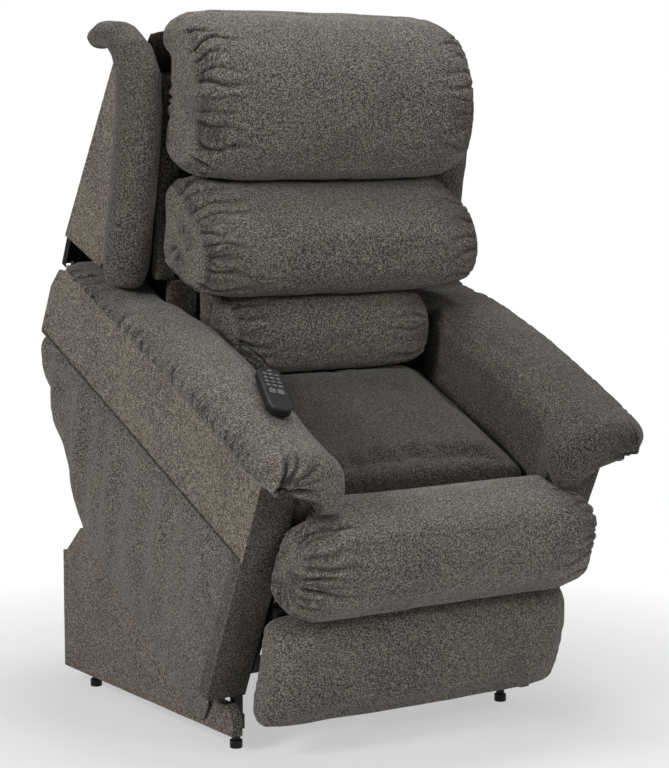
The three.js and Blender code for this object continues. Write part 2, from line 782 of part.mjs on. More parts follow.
for (const { name, s } of sides) {
  add(
    carriage,
    `wing_side_panel_${name}`,
    slab(
      [
        [732, wingLow + 34],
        [750, wingLow + 10],
        [backEdge(wingLow) - gap, wingLow],
        [backEdge(996) - gap, 996],
        [828, 1000],
        [812, 930],
      ],
      s * wingX.inner,
      s * wingX.outer,
    ),
    fabric,
  );

  // Rolled front edge: thick bolster up the wing, curling back over its top.
  const path = [
    { x: 392, y: 676, z: wingLow + 4, rx: 28, ry: 26 },
    { x: 392, y: 678, z: wingLow + 14, rx: 42, ry: 45 },
    { x: 392, y: 684, z: wingLow + 46, rx: 48, ry: 52 },
    { x: 392, y: 711, z: 740, rx: 48, ry: 54 },
    { x: 392, y: 735, z: 840, rx: 48, ry: 54 },
    { x: 392, y: 760, z: 930, rx: 48, ry: 52 },
    { x: 393, y: 788, z: 992, rx: 48, ry: 46 },
    { x: 396, y: 826, z: 1028, rx: 45, ry: 38 },
    { x: 400, y: 878, z: 1040, rx: 41, ry: 32 },
    { x: 404, y: 924, z: 1026, rx: 37, ry: 29 },
    { x: 406, y: 950, z: 1004, rx: 30, ry: 23 },
    { x: 407, y: 960, z: 990, rx: 16, ry: 11 },
  ];
  const n = 14;
  const rings = path.map((p, i) => {
    const a = path[Math.max(i - 1, 0)];
    const b = path[Math.min(i + 1, path.length - 1)];
    const dir = new THREE.Vector2(b.y - a.y, b.z - a.z).normalize();
    return Array.from({ length: n }, (_, j) => {
      const t = (2 * Math.PI * j) / n;
      const out = p.ry * Math.sin(t);
      return new THREE.Vector3(s * (p.x + p.rx * Math.cos(t)), p.y + out * dir.y, p.z - out * dir.x);
    });
  });
  const whole = loft(rings);
  const room = slab(
    [
      [731.6, wingLow - 6],
      [870, wingLow - 6],
      [870, 1001],
      [827.6, 1001],
      [811.6, 930],
      [731.6, wingLow + 34],
    ],
    s * (wingX.inner - gap),
    s * 480,
  );
  add(carriage, `wing_roll_${name}`, cut(whole, room), fabric);
}

// Three bolsters on the back board.
// Each stays in front of the board and between two levels.
const onBoard = (low, high) => (q) => {
  q.z = Math.min(Math.max(q.z, low), high);
  if (q.z < planeEnd) q.y = Math.min(q.y, planeAt(q.z) - gap);
  return q;
};
const planeEnd = boardTop + 46;
const seams = { lower: 624, middle: 823 };
{
  const lowerPts = [
    [588, 466],
    [520, 463],
    [452, 466],
    [426, 494],
    [426, 540],
    [446, 592],
    [486, 616],
    [560, 622],
    [640, 619],
    [612, 540],
  ];
  const middlePts = [
    [640, 633],
    [560, 629],
    [490, 633],
    [452, 656],
    [440, 700],
    [462, 756],
    [520, 804],
    [600, 820],
    [700, 818],
    [670, 720],
  ];
  const headPts = [
    [708, 829],
    [640, 827],
    [592, 848],
    [572, 900],
    [586, 974],
    [624, 1048],
    [678, 1104],
    [744, 1136],
    [806, 1136],
    [846, 1108],
    [846, 1076],
    [800, 1058],
    [750, 950],
  ];
  const cushions = {
    lower: [lowerPts, { ends: 0.8, fit: onBoard(0, seams.lower) }],
    middle: [middlePts, { ends: 0.72, fit: onBoard(seams.lower + 1, seams.middle) }],
    head: [headPts, { ends: 0.74, fit: onBoard(seams.middle + 1, Infinity), count: 26 }],
  };
  for (const [level, [points, form]] of Object.entries(cushions))
    add(carriage, `back_cushion_${level}`, bolster(points, pillowHalf[level], form), fabric);
}

// ---------------------------------------------------------------- leg rest
// The knee of the folded link and bar lies behind and below the line from pivot to hinge.
function knee(pivot, end, length) {
  const [dy, dz] = [end.y - pivot.y, end.z - pivot.z];
  const d = Math.hypot(dy, dz);
  const h = Math.sqrt(length * length - (d * d) / 4);
  return { y: pivot.y + dy / 2 - (dz / d) * h, z: pivot.z + dz / 2 + (dy / d) * h };
}
const kneeIn = knee(legPivot, legHinge, legLink);
const kneeOut = knee(legPivot, legOut, legLink);
for (const { name, s } of sides) {
  const link = linkBar(legPivot, kneeIn, 11, s * linkX.in, s * linkX.out, [
    [legPivot.y, legPivot.z, 10 + boreGap],
  ]);
  const kneePin = barX(s * (linkX.in + 2), s * (linkX.barOut + 1), kneeIn.y, kneeIn.z, 5, 12);
  const hub = cut(
    barX(s * (linkX.in - 6), s * linkX.out, legPivot.y, legPivot.z, 18),
    barX(s * (linkX.in - 8), s * (linkX.out + 2), legPivot.y, legPivot.z, 10 + boreGap),
  );
  add(carriage, `legrest_link_${name}`, join(link, hub, kneePin), steel);
  add(
    carriage,
    `legrest_bar_${name}`,
    linkBar(kneeIn, legHinge, 10, s * linkX.barIn, s * linkX.barOut, [
      [kneeIn.y, kneeIn.z, 5 + boreGap],
      [legHinge.y, legHinge.z, 5 + boreGap],
    ]),
    steel,
  );
}
{
  const leaned = (y, z) => [y + (z - legPad.middle) * legPad.lean, z];
  const rear = legPad.back + gap + legPad.board;
  const [boardLow, boardHigh] = [legPad.low + 14, legPad.high - 14];
  const parts = [
    slab(
      [
        leaned(legPad.back + gap, boardLow),
        leaned(rear, boardLow),
        leaned(rear, boardHigh),
        leaned(legPad.back + gap, boardHigh),
      ],
      -325,
      325,
    ),
  ];
  for (const { s } of sides)
    parts.push(
      slab(
        [
          leaned(rear - 6, legHinge.z - 24),
          [legHinge.y + 9, legHinge.z - 12],
          [legHinge.y + 9, legHinge.z + 12],
          leaned(rear - 6, legHinge.z + 24),
        ],
        s * linkX.earIn,
        s * linkX.earOut,
      ),
      barX(s * (linkX.earIn + 2), s * (linkX.barIn - 1), legHinge.y, legHinge.z, 5, 12),
    );
  add(carriage, "legrest_board", join(...parts), timber);
  const [low, high] = [legPad.low, legPad.high];
  const pts = [
    [legPad.back, low + 14],
    [legPad.back - 22, low],
    [legPad.back - 56, low + 12],
    [legPad.front, low + 70],
    [legPad.front, high - 84],
    [legPad.back - 58, high - 14],
    [legPad.back - 24, high],
    [legPad.back, high - 14],
    [legPad.back, high - 120],
  ];
  const onLegBoard = (q) => {
    q.y = Math.min(q.y, legPad.back) + (q.z - legPad.middle) * legPad.lean;
    return q;
  };
  add(carriage, "legrest_pad", bolster(pts, legPad.halfX, { ends: 0.84, fit: onLegBoard }), fabric);
}

// ---------------------------------------------------------------- lift curtain
// One skirt of cloth from the hem of the side panels to the base, open at the front.
{
  const hemX = arm.outX - 0.5;
  const lowX = base.outerX + 3;
  const top = [];
  const bottom = [];
  const fromHem = (x, y) => {
    const q = fromCarriage({ y, z: arm.hem - 0.6 });
    return new THREE.Vector3(x, q.y, q.z);
  };
  const lowLine = (y) => {
    // Level along the base's lower edge, then rising to the rear over the side panel.
    const start = -150;
    const end = base.rear - 83;
    const rise = Math.max((y - start) / (end - start), 0);
    return base.bottom + 5 + rise * (base.sideTop - base.bottom - 4);
  };
  const sideSteps = 12;
  const rearSteps = 8;
  for (let i = 0; i <= sideSteps; i++) {
    const t = i / sideSteps;
    const y = -205 + t * (base.rear - 83 + 205);
    top.push(fromHem(-hemX, 38 + t * (panelRear - 48)));
    bottom.push(new THREE.Vector3(-lowX, y, lowLine(y)));
  }
  for (let i = 0; i <= rearSteps; i++) {
    const x = -1 + (2 * i) / rearSteps;
    const turn = Math.sqrt(Math.max(1 - Math.pow(Math.abs(x), 8), 0));
    top.push(fromHem(x * (hemX - 4), panelRear - 10 + 8 * turn));
    bottom.push(new THREE.Vector3(x * (rail.outX - 12), 330 + 30 * turn, base.sideTop + 4 - 40 * turn));
  }
  for (let i = sideSteps; i >= 0; i--) {
    top.push(new THREE.Vector3(-top[i].x, top[i].y, top[i].z));
    bottom.push(new THREE.Vector3(-bottom[i].x, bottom[i].y, bottom[i].z));
  }
  const levels = 7;
  const thick = 3;
  const cols = top.length;
  const grid = top.map((a, i) => {
    const b = bottom[i];
    return Array.from({ length: levels + 1 }, (_, k) => {
      const t = k / levels;
      const p = a.clone().lerp(b, t);
      const fold = (1 + Math.sin(i * 2.1)) * 5 * Math.sin(Math.PI * t);
      const drop = a.distanceTo(b) / 700;
      const side = i <= sideSteps ? -1 : i > sideSteps + rearSteps + 1 ? 1 : 0;
      if (side) p.x += side * (fold + 7 * Math.sin(Math.PI * t)) * drop;
      else p.y += fold + 86 * Math.sin(Math.PI * Math.pow(t, 0.62));
      return p;
    });
  });
  const normalAt = (i, k) => {
    const a = grid[Math.max(i - 1, 0)][k];
    const b = grid[Math.min(i + 1, cols - 1)][k];
    const c = grid[i][Math.max(k - 1, 0)];
    const d = grid[i][Math.min(k + 1, levels)];
    return b.clone().sub(a).cross(d.clone().sub(c)).normalize();
  };
  const rings = grid.map((line, i) => {
    const inside = line.map((p, k) => p.clone().addScaledVector(normalAt(i, k), -thick));
    return [...line, ...inside.reverse()];
  });
  add(baseGroup, "lift_curtain", loft(rings), fabric);
}

// ---------------------------------------------------------------- handset and its lead
const handsetGroup = new THREE.Group();
handsetGroup.position.set(handsetAt.x, handsetAt.y, handsetAt.z);
handsetGroup.rotation.set(
  THREE.MathUtils.degToRad(handsetAt.pitch),
  THREE.MathUtils.degToRad(handsetAt.roll),
  THREE.MathUtils.degToRad(handsetAt.yaw),
  "ZYX",
);
carriage.add(handsetGroup);

function rounded(width, length, corner, depth, bevel, segments) {
  const [w, l, r] = [width / 2, length / 2, corner];
  const shape = new THREE.Shape();
  shape.absarc(w - r, -l + r, r, -Math.PI / 2, 0, false);
  shape.absarc(w - r, l - r, r, 0, Math.PI / 2, false);
  shape.absarc(-w + r, l - r, r, Math.PI / 2, Math.PI, false);
  shape.absarc(-w + r, -l + r, r, Math.PI, 1.5 * Math.PI, false);
  return new THREE.ExtrudeGeometry(shape, {
    depth: depth - 2 * bevel,
    bevelEnabled: bevel > 0,
    bevelSize: bevel,
    bevelThickness: bevel,
    bevelOffset: -bevel,
    bevelSegments: 2,
    curveSegments: segments,
  }).translate(0, 0, bevel);
}

const keys = [{ name: "key_power", x: 0, y: 58, w: 8, l: 6 }];
for (let row = 0; row < 4; row++)
  for (let col = 0; col < 3; col++)
    keys.push({ name: `key_${row * 3 + col + 1}`, x: (col - 1) * 12.5, y: 45 - row * 13, w: 9, l: 6.5 });
keys.push({ name: "key_raise", x: -8.5, y: -14, w: 14, l: 17 });
keys.push({ name: "key_lower", x: 8.5, y: -14, w: 14, l: 17 });

{
  const h = handset;
  const body = rounded(h.width, h.length, h.corner, h.thick, 4, 5);
  const around = 0.35;
  const pockets = keys.map((k) =>
    box(k.x - k.w / 2 - around, k.x + k.w / 2 + around, k.y - k.l / 2 - around, k.y + k.l / 2 + around,
      h.thick - h.keyDeep - 1, h.thick + 5),
  );
  const boot = barY(h.length / 2 - 3, h.length / 2 + 9, 0, h.thick / 2, 5, 10);
  add(handsetGroup, "handset_case", cut(join(body, boot), ...pockets), plastic);
  for (const k of keys) {
    const g = rounded(k.w, k.l, Math.min(k.w, k.l) * 0.3, h.keyDeep + h.keyUp, 0, 2);
    add(handsetGroup, k.name, g.translate(k.x, k.y, h.thick - h.keyDeep), keyGrey);
  }
}

chair.updateMatrixWorld(true);
const leadRoute = (() => {
  const end = new THREE.Vector3(0, handset.length / 2 + 9 + gap, handset.thick / 2);
  const out = new THREE.Vector3(0, handset.length / 2 + 26, handset.thick / 2);
  const local = (v) => v.applyMatrix4(handsetGroup.matrix);
  const points = [
    [grommet.x, grommet.y, deck.high + grommet.height + gap],
    [grommet.x, grommet.y, 385],
    [-270, 526, 420],
    [-274, 508, 446],
    [-278, 470, 450],
    [-279, 410, 446],
    [-279, 350, 444],
    [-277, 312, 452],
    [-272, 292, 490],
    [-271, 284, 545],
    [-273, 280, 584],
    [-282, 279, 606],
    [-295, 286, 617],
    [-304, 302, 621],
    [-311, 317, 622],
    [-320, 319, 622],
    [-326, 304, 622],
    [-327, 278, 622],
  ].map(([x, y, z]) => new THREE.Vector3(x, y, z));
  return [...points, local(out), local(end)];
})();
{
  const curve = new THREE.CatmullRomCurve3(leadRoute, false, "centripetal");
  const r = lead.diameter / 2;
  const ring = new THREE.Shape(
    Array.from({ length: lead.sides }, (_, i) => {
      const a = (2 * Math.PI * i) / lead.sides;
      return new THREE.Vector2(r * Math.cos(a), r * Math.sin(a));
    }),
  );
  const tube = new THREE.ExtrudeGeometry(ring, { steps: 60, bevelEnabled: false, extrudePath: curve });
  add(carriage, "handset_lead", tube, plastic);
}

// ---------------------------------------------------------------- joints
const degrees = THREE.MathUtils.radToDeg;
const angleOf = (a, b) => Math.atan2(b.z - a.z, b.y - a.y);
const span = (a, b) => Math.hypot(b.y - a.y, b.z - a.z);
const swung = (a, b) => degrees(Math.atan2(Math.sin(b - a), Math.cos(b - a)));
const leverOut = (() => {
  const q = turned(0, -backUnit.lever, THREE.MathUtils.degToRad(-reclineAngle));
  return { y: backPivot.y + q.y, z: backPivot.z + q.z };
})();
chair.userData.motion = {
  liftSwing,
  tilt: degrees(raised.tilt),
  lowered,
  pole,
  liftPivot,
  pinWorld,
  raised,
  liftUnit: {
    pivot: liftBase,
    end: liftEnd,
    turn: swung(angleOf(liftBase, liftEnd), angleOf(liftBase, liftEndLow)),
    travel: span(liftBase, liftEndLow) - span(liftBase, liftEnd),
  },
  back: { pivot: backPivot, angle: reclineAngle },
  backUnit: {
    pivot: backBase,
    end: lever,
    turn: swung(angleOf(backBase, lever), angleOf(backBase, leverOut)),
    travel: span(backBase, leverOut) - span(backBase, lever),
  },
  legrest: {
    pivot: legPivot,
    knee: kneeIn,
    hinge: legHinge,
    linkTurn: swung(angleOf(legPivot, kneeIn), angleOf(legPivot, kneeOut)),
    barTurn: swung(angleOf(kneeIn, legHinge), angleOf(kneeOut, legOut)),
    panelTurn: degrees(Math.atan(legPad.lean)) - 90,
  },
  centreShift,
  keys: keys.map((k) => k.name),
};

export default chair;
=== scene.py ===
# %% [markdown]
# # A lift recliner chair, dressed from its frame
#
# The real chair is a steel base with a tilting seat, dressed in thick woven cloth. Its frame
# comes as sixty exact solids on moving bodies. This lesson adds what solids lack: stuffing,
# gathers, piping and slack cloth. The first cell loads the frame.

import math
import random

import bmesh
import bpy
import numpy as np
from mathutils import Euler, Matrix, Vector, noise
from mathutils.bvhtree import BVHTree


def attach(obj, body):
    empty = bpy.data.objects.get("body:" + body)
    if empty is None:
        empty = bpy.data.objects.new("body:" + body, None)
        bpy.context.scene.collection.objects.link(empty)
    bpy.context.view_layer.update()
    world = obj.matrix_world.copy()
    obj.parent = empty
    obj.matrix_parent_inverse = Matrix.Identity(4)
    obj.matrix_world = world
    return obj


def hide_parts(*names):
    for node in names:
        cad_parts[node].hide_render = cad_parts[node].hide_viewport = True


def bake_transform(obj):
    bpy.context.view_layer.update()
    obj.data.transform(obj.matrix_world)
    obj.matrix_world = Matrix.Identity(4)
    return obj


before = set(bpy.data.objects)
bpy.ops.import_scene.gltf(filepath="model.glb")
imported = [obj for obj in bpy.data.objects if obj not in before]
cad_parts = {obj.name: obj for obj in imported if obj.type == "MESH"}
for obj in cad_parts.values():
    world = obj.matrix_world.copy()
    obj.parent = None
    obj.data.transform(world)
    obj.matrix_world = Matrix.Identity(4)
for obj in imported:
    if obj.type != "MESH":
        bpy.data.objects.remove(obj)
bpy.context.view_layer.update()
scene = bpy.context.scene
SIDES = (("left", -1), ("right", 1))

# %% [markdown]
# The chair is shown raised, so seat, arms and back lean forward together, and measures along the
# floor's axes would all be slanted. In the seat's own frame x runs across, v to the rear along
# the seat and w up from it, in millimetres, and most pieces are plain there. Two functions turn
# points from one frame to the other.

# %% The seat's own frame
TILT = math.radians(24.5)
ORIGIN = Vector((0.0, -0.280 + 0.0364, 0.1138))
ALONG = Vector((0.0, math.cos(TILT), math.sin(TILT)))
UP = Vector((0.0, -math.sin(TILT), math.cos(TILT)))


def place(x, v, w):
    return ORIGIN + Vector((x / 1000, 0, 0)) + ALONG * (v / 1000) + UP * (w / 1000)


def chair_coordinates(points):
    """Rows of x, v, w in millimetres from rows of metres."""
    moved = points - np.array(ORIGIN)
    v = moved @ np.array(ALONG)
    w = moved @ np.array(UP)
    return np.stack([moved[:, 0], v, w], axis=1) * 1000


print("the seat leans", round(math.degrees(TILT), 1), "degrees")

# %% [markdown]
# The picture was taken from the front left, a little above the seat, and lines that are parallel
# stay almost parallel in it. That means a long lens far away. A short lens close by would swell
# the arms.

# %% The camera
CAMERA_TURN, CAMERA_DROP = math.radians(33.6), math.radians(6.4)
camera_data = bpy.data.cameras.new("camera")
camera_data.lens = 103.9
camera_data.sensor_width = 36
camera = bpy.data.objects.new("camera", camera_data)
scene.collection.objects.link(camera)
camera.location = (-2.5752, -3.9425, 1.2223)
forward = Vector(
    (
        math.sin(CAMERA_TURN) * math.cos(CAMERA_DROP),
        math.cos(CAMERA_TURN) * math.cos(CAMERA_DROP),
        -math.sin(CAMERA_DROP),
    )
)
camera.rotation_euler = forward.to_track_quat("-Z", "Y").to_euler()
scene.camera = camera
print("camera at", tuple(camera.location))

# %% [markdown]
# The handset hangs on a thin round lead. It leaves the seat deck by a grommet, runs in the
# crevice beside the cushion, climbs over the arm and loops behind the handset. It could be
# simulated, but a smooth curve through a few points gives the way that is seen. The last two
# points lie on the handset's own axis.

# %% Where the lead runs
HANDSET_PLACE = (-350, 133, 614)
HANDSET_TURN = Euler((math.radians(3.5), math.radians(5), math.radians(-17)), "XYZ")
HANDSET_MIDDLE = 10  # half of its thickness, over its rear face
LEAD_POINTS = [
    (-268, 530, 339.3),
    (-268, 530, 385),
    (-270, 526, 420),
    (-274, 508, 446),
    (-278, 470, 450),
    (-279, 410, 446),
    (-279, 350, 444),
    (-277, 312, 452),
    (-272, 292, 490),
    (-271, 284, 545),
    (-273, 280, 584),
    (-282, 279, 606),
    (-295, 286, 617),
    (-304, 302, 621),
    (-311, 317, 622),
    (-320, 319, 622),
    (-326, 304, 622),
    (-327, 278, 622),
]


def on_handset(y):
    """A point on the handset's long axis, y millimetres from its middle."""
    turned = HANDSET_TURN.to_matrix() @ Vector((0, y, HANDSET_MIDDLE))
    return place(*(Vector(HANDSET_PLACE) + turned))


lead_nodes = [place(*p) for p in LEAD_POINTS] + [on_handset(101), on_handset(84.3)]
print("points on the lead", len(lead_nodes))

# %% [markdown]
# A curve through uneven points easily overshoots where they stand close together. Setting its
# speed by the square root of the spacing keeps it tight. It is worked out by hand here.

# %% A smooth line
def between(a, b, s, start, stop):
    """The point at s on the way from a, reached at start, to b, reached at stop."""
    return a * ((stop - s) / (stop - start)) + b * ((s - start) / (stop - start))


def smooth_line(points, steps):
    ends = [points[0] * 2 - points[1], *points, points[-1] * 2 - points[-2]]
    line = []
    for i in range(1, len(ends) - 2):
        p = ends[i - 1 : i + 3]
        t = [0.0]
        for a, b in zip(p, p[1:]):
            t.append(t[-1] + math.sqrt((b - a).length))
        for k in range(steps):
            s = t[1] + (t[2] - t[1]) * k / steps
            a = [between(p[j], p[j + 1], s, t[j], t[j + 1]) for j in range(3)]
            b = [between(a[j], a[j + 1], s, t[j], t[j + 2]) for j in range(2)]
            line.append(between(b[0], b[1], s, t[1], t[2]))
    return [*line, points[-1]]


lead_line = smooth_line(lead_nodes, 8)

# %% [markdown]
# Round cords are quickest to draw as a curve with a bevel. The curve is turned into a mesh at
# once, because all pieces are kept as meshes.

# %% Round tubes
def new_piece(name, mesh):
    mesh.name = name
    piece = bpy.data.objects.new(name, mesh)
    scene.collection.objects.link(piece)
    return piece


def finished_mesh(piece):
    """The piece's mesh as its modifiers show it."""
    graph = bpy.context.evaluated_depsgraph_get()
    return bpy.data.meshes.new_from_object(piece.evaluated_get(graph))


def tube(name, points, radius, radii=None):
    """A round tube along the points. radii makes it thicker or thinner at each point."""
    data = bpy.data.curves.new(f"{name}_line", "CURVE")
    data.dimensions = "3D"
    data.bevel_depth = radius
    data.bevel_resolution = 4
    data.use_fill_caps = True
    spline = data.splines.new("POLY")
    spline.points.add(len(points) - 1)
    for i, p in enumerate(points):
        spline.points[i].co = (*p, 1)
        spline.points[i].radius = radii[i] if radii else 1
    line = bpy.data.objects.new(f"{name}_line", data)
    scene.collection.objects.link(line)
    piece = new_piece(name, finished_mesh(line))
    bpy.data.objects.remove(line)
    bpy.data.curves.remove(data)
    piece.data.shade_smooth()
    return piece


print("tubes ready")

# %% [markdown]
# A ribbed sleeve keeps the lead from kinking where it enters the handset. It could be turned rib
# by rib, but a short tube whose radius steps up and down looks the same at this size. Lead and
# sleeve are one cord and ride on the carriage, the body that tilts.

# %% The lead and its sleeve
LEAD_DIAMETER = 0.0046
SLEEVE_START, SLEEVE_LENGTH = 84.6, 26
lead = tube("lead", lead_line, LEAD_DIAMETER / 2)
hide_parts("handset_lead")
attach(lead, "carriage")

sleeve_line = [on_handset(SLEEVE_START + SLEEVE_LENGTH * k / 40) for k in range(24)]
sleeve_radii = [1.9 - 0.022 * k + (0.16 if k % 4 < 2 else 0) for k in range(24)]
sleeve = tube("lead_sleeve", sleeve_line, LEAD_DIAMETER / 2, sleeve_radii)
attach(sleeve, "carriage")
print("lead", len(lead.data.vertices), "points, sleeve", len(sleeve.data.vertices), "points")

# %% [markdown]
# Materials are built from nodes by small functions. A socket given as an input is joined, and a
# number is set on the socket itself. Patterns start from the piece's own coordinates, so they
# stay on the piece when the chair moves.

# %% Helpers for nodes
def feed(node, inputs):
    for key, value in inputs.items():
        if isinstance(value, bpy.types.NodeSocket):
            node.id_data.links.new(value, node.inputs[key])
        else:
            node.inputs[key].default_value = value


def add(tree, kind, output, inputs, **settings):
    """Adds a node and gives one of its outputs."""
    node = tree.nodes.new(f"ShaderNode{kind}")
    for key, value in settings.items():
        setattr(node, key, value)
    feed(node, inputs)
    return node.outputs[output]


class Look:
    """A material that is being built."""

    def __init__(self, name):
        self.material = bpy.data.materials.new(name)
        self.material.use_nodes = True
        self.tree = self.material.node_tree
        self.coordinates = add(self.tree, "TexCoord", "Object", {})

    def finish(self, inputs):
        feed(self.tree.nodes["Principled BSDF"], inputs)
        return self.material


print("node helpers ready")

# %% [markdown]
# Stretched noise, a number mapped to a new range, arithmetic, a mix of two colours and a bump are
# enough for the whole chair. The mix node takes colours at its inputs 6 and 7, after those for
# numbers and vectors.

# %% Patterns
def noise_in(look, scale=(1, 1, 1), size=1.0, detail=2.0, roughness=0.5, tilt=0.0):
    """Noise in the piece's own coordinates, stretched by a scale for each axis."""
    mapped = {"Vector": look.coordinates, "Scale": scale, "Rotation": (tilt, 0, 0)}
    vector = add(look.tree, "Mapping", "Vector", mapped)
    return noise_at(look, vector, size, detail, roughness)


def noise_at(look, vector, size, detail, roughness):
    inputs = {"Vector": vector, "Scale": size, "Detail": detail, "Roughness": roughness}
    return add(look.tree, "TexNoise", "Fac", inputs)


def spread(look, value, low, high, to_low=0.0, to_high=1.0):
    """Maps low to to_low and high to to_high, and holds the value between them."""
    inputs = {"From Min": low, "From Max": high, "To Min": to_low, "To Max": to_high}
    return add(look.tree, "MapRange", "Result", {"Value": value, **inputs})


def combined(look, operation, a, b):
    return add(look.tree, "Math", "Value", {0: a, 1: b}, operation=operation)


def mixed(look, factor, a, b, kind="MIX"):
    return add(look.tree, "Mix", 2, {0: factor, 6: a, 7: b}, data_type="RGBA", blend_type=kind)


def bump(look, height, strength, distance, under=None):
    inputs = {"Height": height, "Strength": strength, "Distance": distance}
    if under:
        inputs["Normal"] = under
    return add(look.tree, "Bump", "Normal", inputs)


def noted(look, name):
    """A number that is kept at every point of the piece."""
    return add(look.tree, "Attribute", "Fac", {}, attribute_name=name)


print("patterns ready")

# %% [markdown]
# The cover is chenille, a thick yarn with a soft pile. A picture of cloth would repeat visibly,
# so noise draws the weave: one noise is stretched each way, and the higher of the two is taken. A
# narrow range makes light threads stand out from the dark ground, and a fine speck breaks them
# up.

# %% Chenille threads
LONG_WAY, SHORT_WAY = 215, 450  # how fast the noise changes along and across a thread, per metre


def scaled(colour, factors):
    """A colour made lighter or darker, by one factor or by one for each of red, green and blue."""
    if not isinstance(factors, tuple):
        factors = (factors,) * 3
    return tuple(c * f for c, f in zip(colour, factors))


def woven(look, dark, light, tilt):
    """Gives the weave's height, its threads and the colour of the yarn."""
    flat, fine = (LONG_WAY, LONG_WAY, SHORT_WAY), (SHORT_WAY, SHORT_WAY, LONG_WAY)
    across = noise_in(look, flat, roughness=0.7, tilt=tilt)
    along = noise_in(look, fine, roughness=0.7, tilt=tilt)
    weave = combined(look, "MAXIMUM", across, along)
    threads = spread(look, weave, 0.54, 0.595)
    speck = spread(look, noise_in(look, size=480, detail=1.0), 0.45, 0.6)
    pile = combined(look, "MULTIPLY", speck, 0.3)
    mottled = combined(look, "ADD", combined(look, "MULTIPLY", threads, 0.75), pile)
    return weave, threads, mixed(look, mottled, (*dark, 1), (*light, 1))


print("threads change", SHORT_WAY, "times a metre")

# %% [markdown]
# A cover in use isn't even, because its pile lies this way here and that way there. Two slow
# noises lay darker and warmer patches over the yarn's colour.

# %% Patches in the pile
BLACK, WHITE = (0, 0, 0, 1), (1, 1, 1, 1)


def with_patches(look, yarn, light):
    nap = spread(look, noise_in(look, size=7.0, detail=3.0, roughness=0.6), 0.3, 0.7, 0.84, 1.16)
    shaded = mixed(look, 1.0, yarn, mixed(look, nap, BLACK, WHITE), "MULTIPLY")
    where = spread(look, noise_in(look, size=3.2), 0.4, 0.65, 0.0, 0.5)
    warm = mixed(look, where, shaded, (*scaled(light, (0.62, 0.55, 0.46)), 1))
    return mixed(look, 0.35, shaded, warm)


print("patches ready")

# %% [markdown]
# Gathers are partly shape and partly painted shade. The shape is pressed into the mesh further
# down, and the material darkens each point by how deep it was pressed, as painted shade. The
# finest creases are too thin for the mesh, so the material draws them inside a mask, as thin lines
# of painted shade with a bump, where a noise crosses its middle value.

# %% Creases
CREASE_WIDTH = 0.075
CREASES_ACROSS, CREASES_ALONG = 150.0, 13.0  # per metre


def fine_creases(look):
    over = combined(look, "MULTIPLY", noted(look, "gather_over"), CREASES_ACROSS)
    along = combined(look, "MULTIPLY", noted(look, "gather_along"), CREASES_ALONG)
    vector = add(look.tree, "CombineXYZ", "Vector", {"X": over, "Y": along})
    lines = noise_at(look, vector, 1.0, 2.0, 0.6)
    ridges = combined(look, "ABSOLUTE", combined(look, "SUBTRACT", lines, 0.5), 0.0)
    thin = spread(look, ridges, 0.0, CREASE_WIDTH, 1.0, 0.0)
    return combined(look, "MULTIPLY", thin, noted(look, "gather"))


def chenille(name, dark, light, tilt):
    look = Look(name)
    weave, threads, yarn = woven(look, dark, light, tilt)
    # Painted shade: a darker yarn colour, mixed in where points were pressed in and along the fine
    # creases.
    fold_shade = (*scaled(dark, 0.6), 1)
    colour = with_patches(look, yarn, light)
    colour = mixed(look, spread(look, noted(look, "fold"), -0.3, 1.0, 0.0, 0.8), colour, fold_shade)
    crease = fine_creases(look)
    # Painted shade along the fine creases.
    colour = mixed(look, combined(look, "MULTIPLY", crease, 0.62), colour, fold_shade)
    slack = bump(look, noise_in(look, size=38, detail=3.0, roughness=0.55), 0.18, 0.006)
    slack = bump(look, combined(look, "MULTIPLY", crease, -1.0), 0.9, 0.004, slack)
    inputs = {
        "Base Color": colour,
        "Roughness": spread(look, threads, 0.0, 1.0, 0.98, 0.82),
        "Normal": bump(look, weave, 0.75, 0.0014, slack),
        "Sheen Weight": 0.22,
        "Sheen Roughness": 0.55,
        "Specular IOR Level": 0.06,
    }
    return look.finish(inputs)


print("chenille ready")

# %% [markdown]
# Moulded plastic has a fine grain and paler worn patches. Powder coat has low bumps like an
# orange's skin and a little dust. Sawn timber has long rings with pores on top. All three are
# noise at other scales, so they need no pictures.

# %% Plastic, powder coat and timber
def moulded(name, colour, grain, rough):
    look = Look(name)
    texture = noise_in(look, size=grain)
    worn = spread(look, noise_in(look, size=60), 0.35, 0.7)
    paler = (*[min(c * 1.35 + 0.004, 1) for c in colour], 1)
    inputs = {
        "Base Color": mixed(look, worn, (*colour, 1), paler),
        "Roughness": spread(look, texture, 0.3, 0.7, rough - 0.06, rough + 0.1),
        "Normal": bump(look, texture, 0.25, 0.0002),
        "Specular IOR Level": 0.22,
    }
    return look.finish(inputs)


def powder_coat(name, colour):
    look = Look(name)
    orange_peel = noise_in(look, size=700)
    dust = spread(look, noise_in(look, size=14, detail=3.0), 0.45, 0.75)
    dusty = (*[c * 1.7 + 0.006 for c in colour], 1)
    inputs = {
        "Base Color": mixed(look, dust, (*colour, 1), dusty),
        "Roughness": spread(look, dust, 0.0, 1.0, 0.36, 0.55),
        "Normal": bump(look, orange_peel, 0.3, 0.0003),
        "Metallic": 0.25,
    }
    return look.finish(inputs)


def sawn_timber(name, dark, light):
    look = Look(name)
    rings = noise_in(look, (6, 90, 90), detail=3.0, roughness=0.55)
    pores = noise_in(look, (30, 700, 700))
    heavy, slight = combined(look, "MULTIPLY", rings, 0.7), combined(look, "MULTIPLY", pores, 0.3)
    grain = combined(look, "ADD", heavy, slight)
    inputs = {
        "Base Color": mixed(look, spread(look, grain, 0.38, 0.62), (*dark, 1), (*light, 1)),
        "Roughness": spread(look, pores, 0.3, 0.7, 0.62, 0.85),
        "Normal": bump(look, grain, 0.3, 0.0006),
    }
    return look.finish(inputs)


print("hard finishes ready")
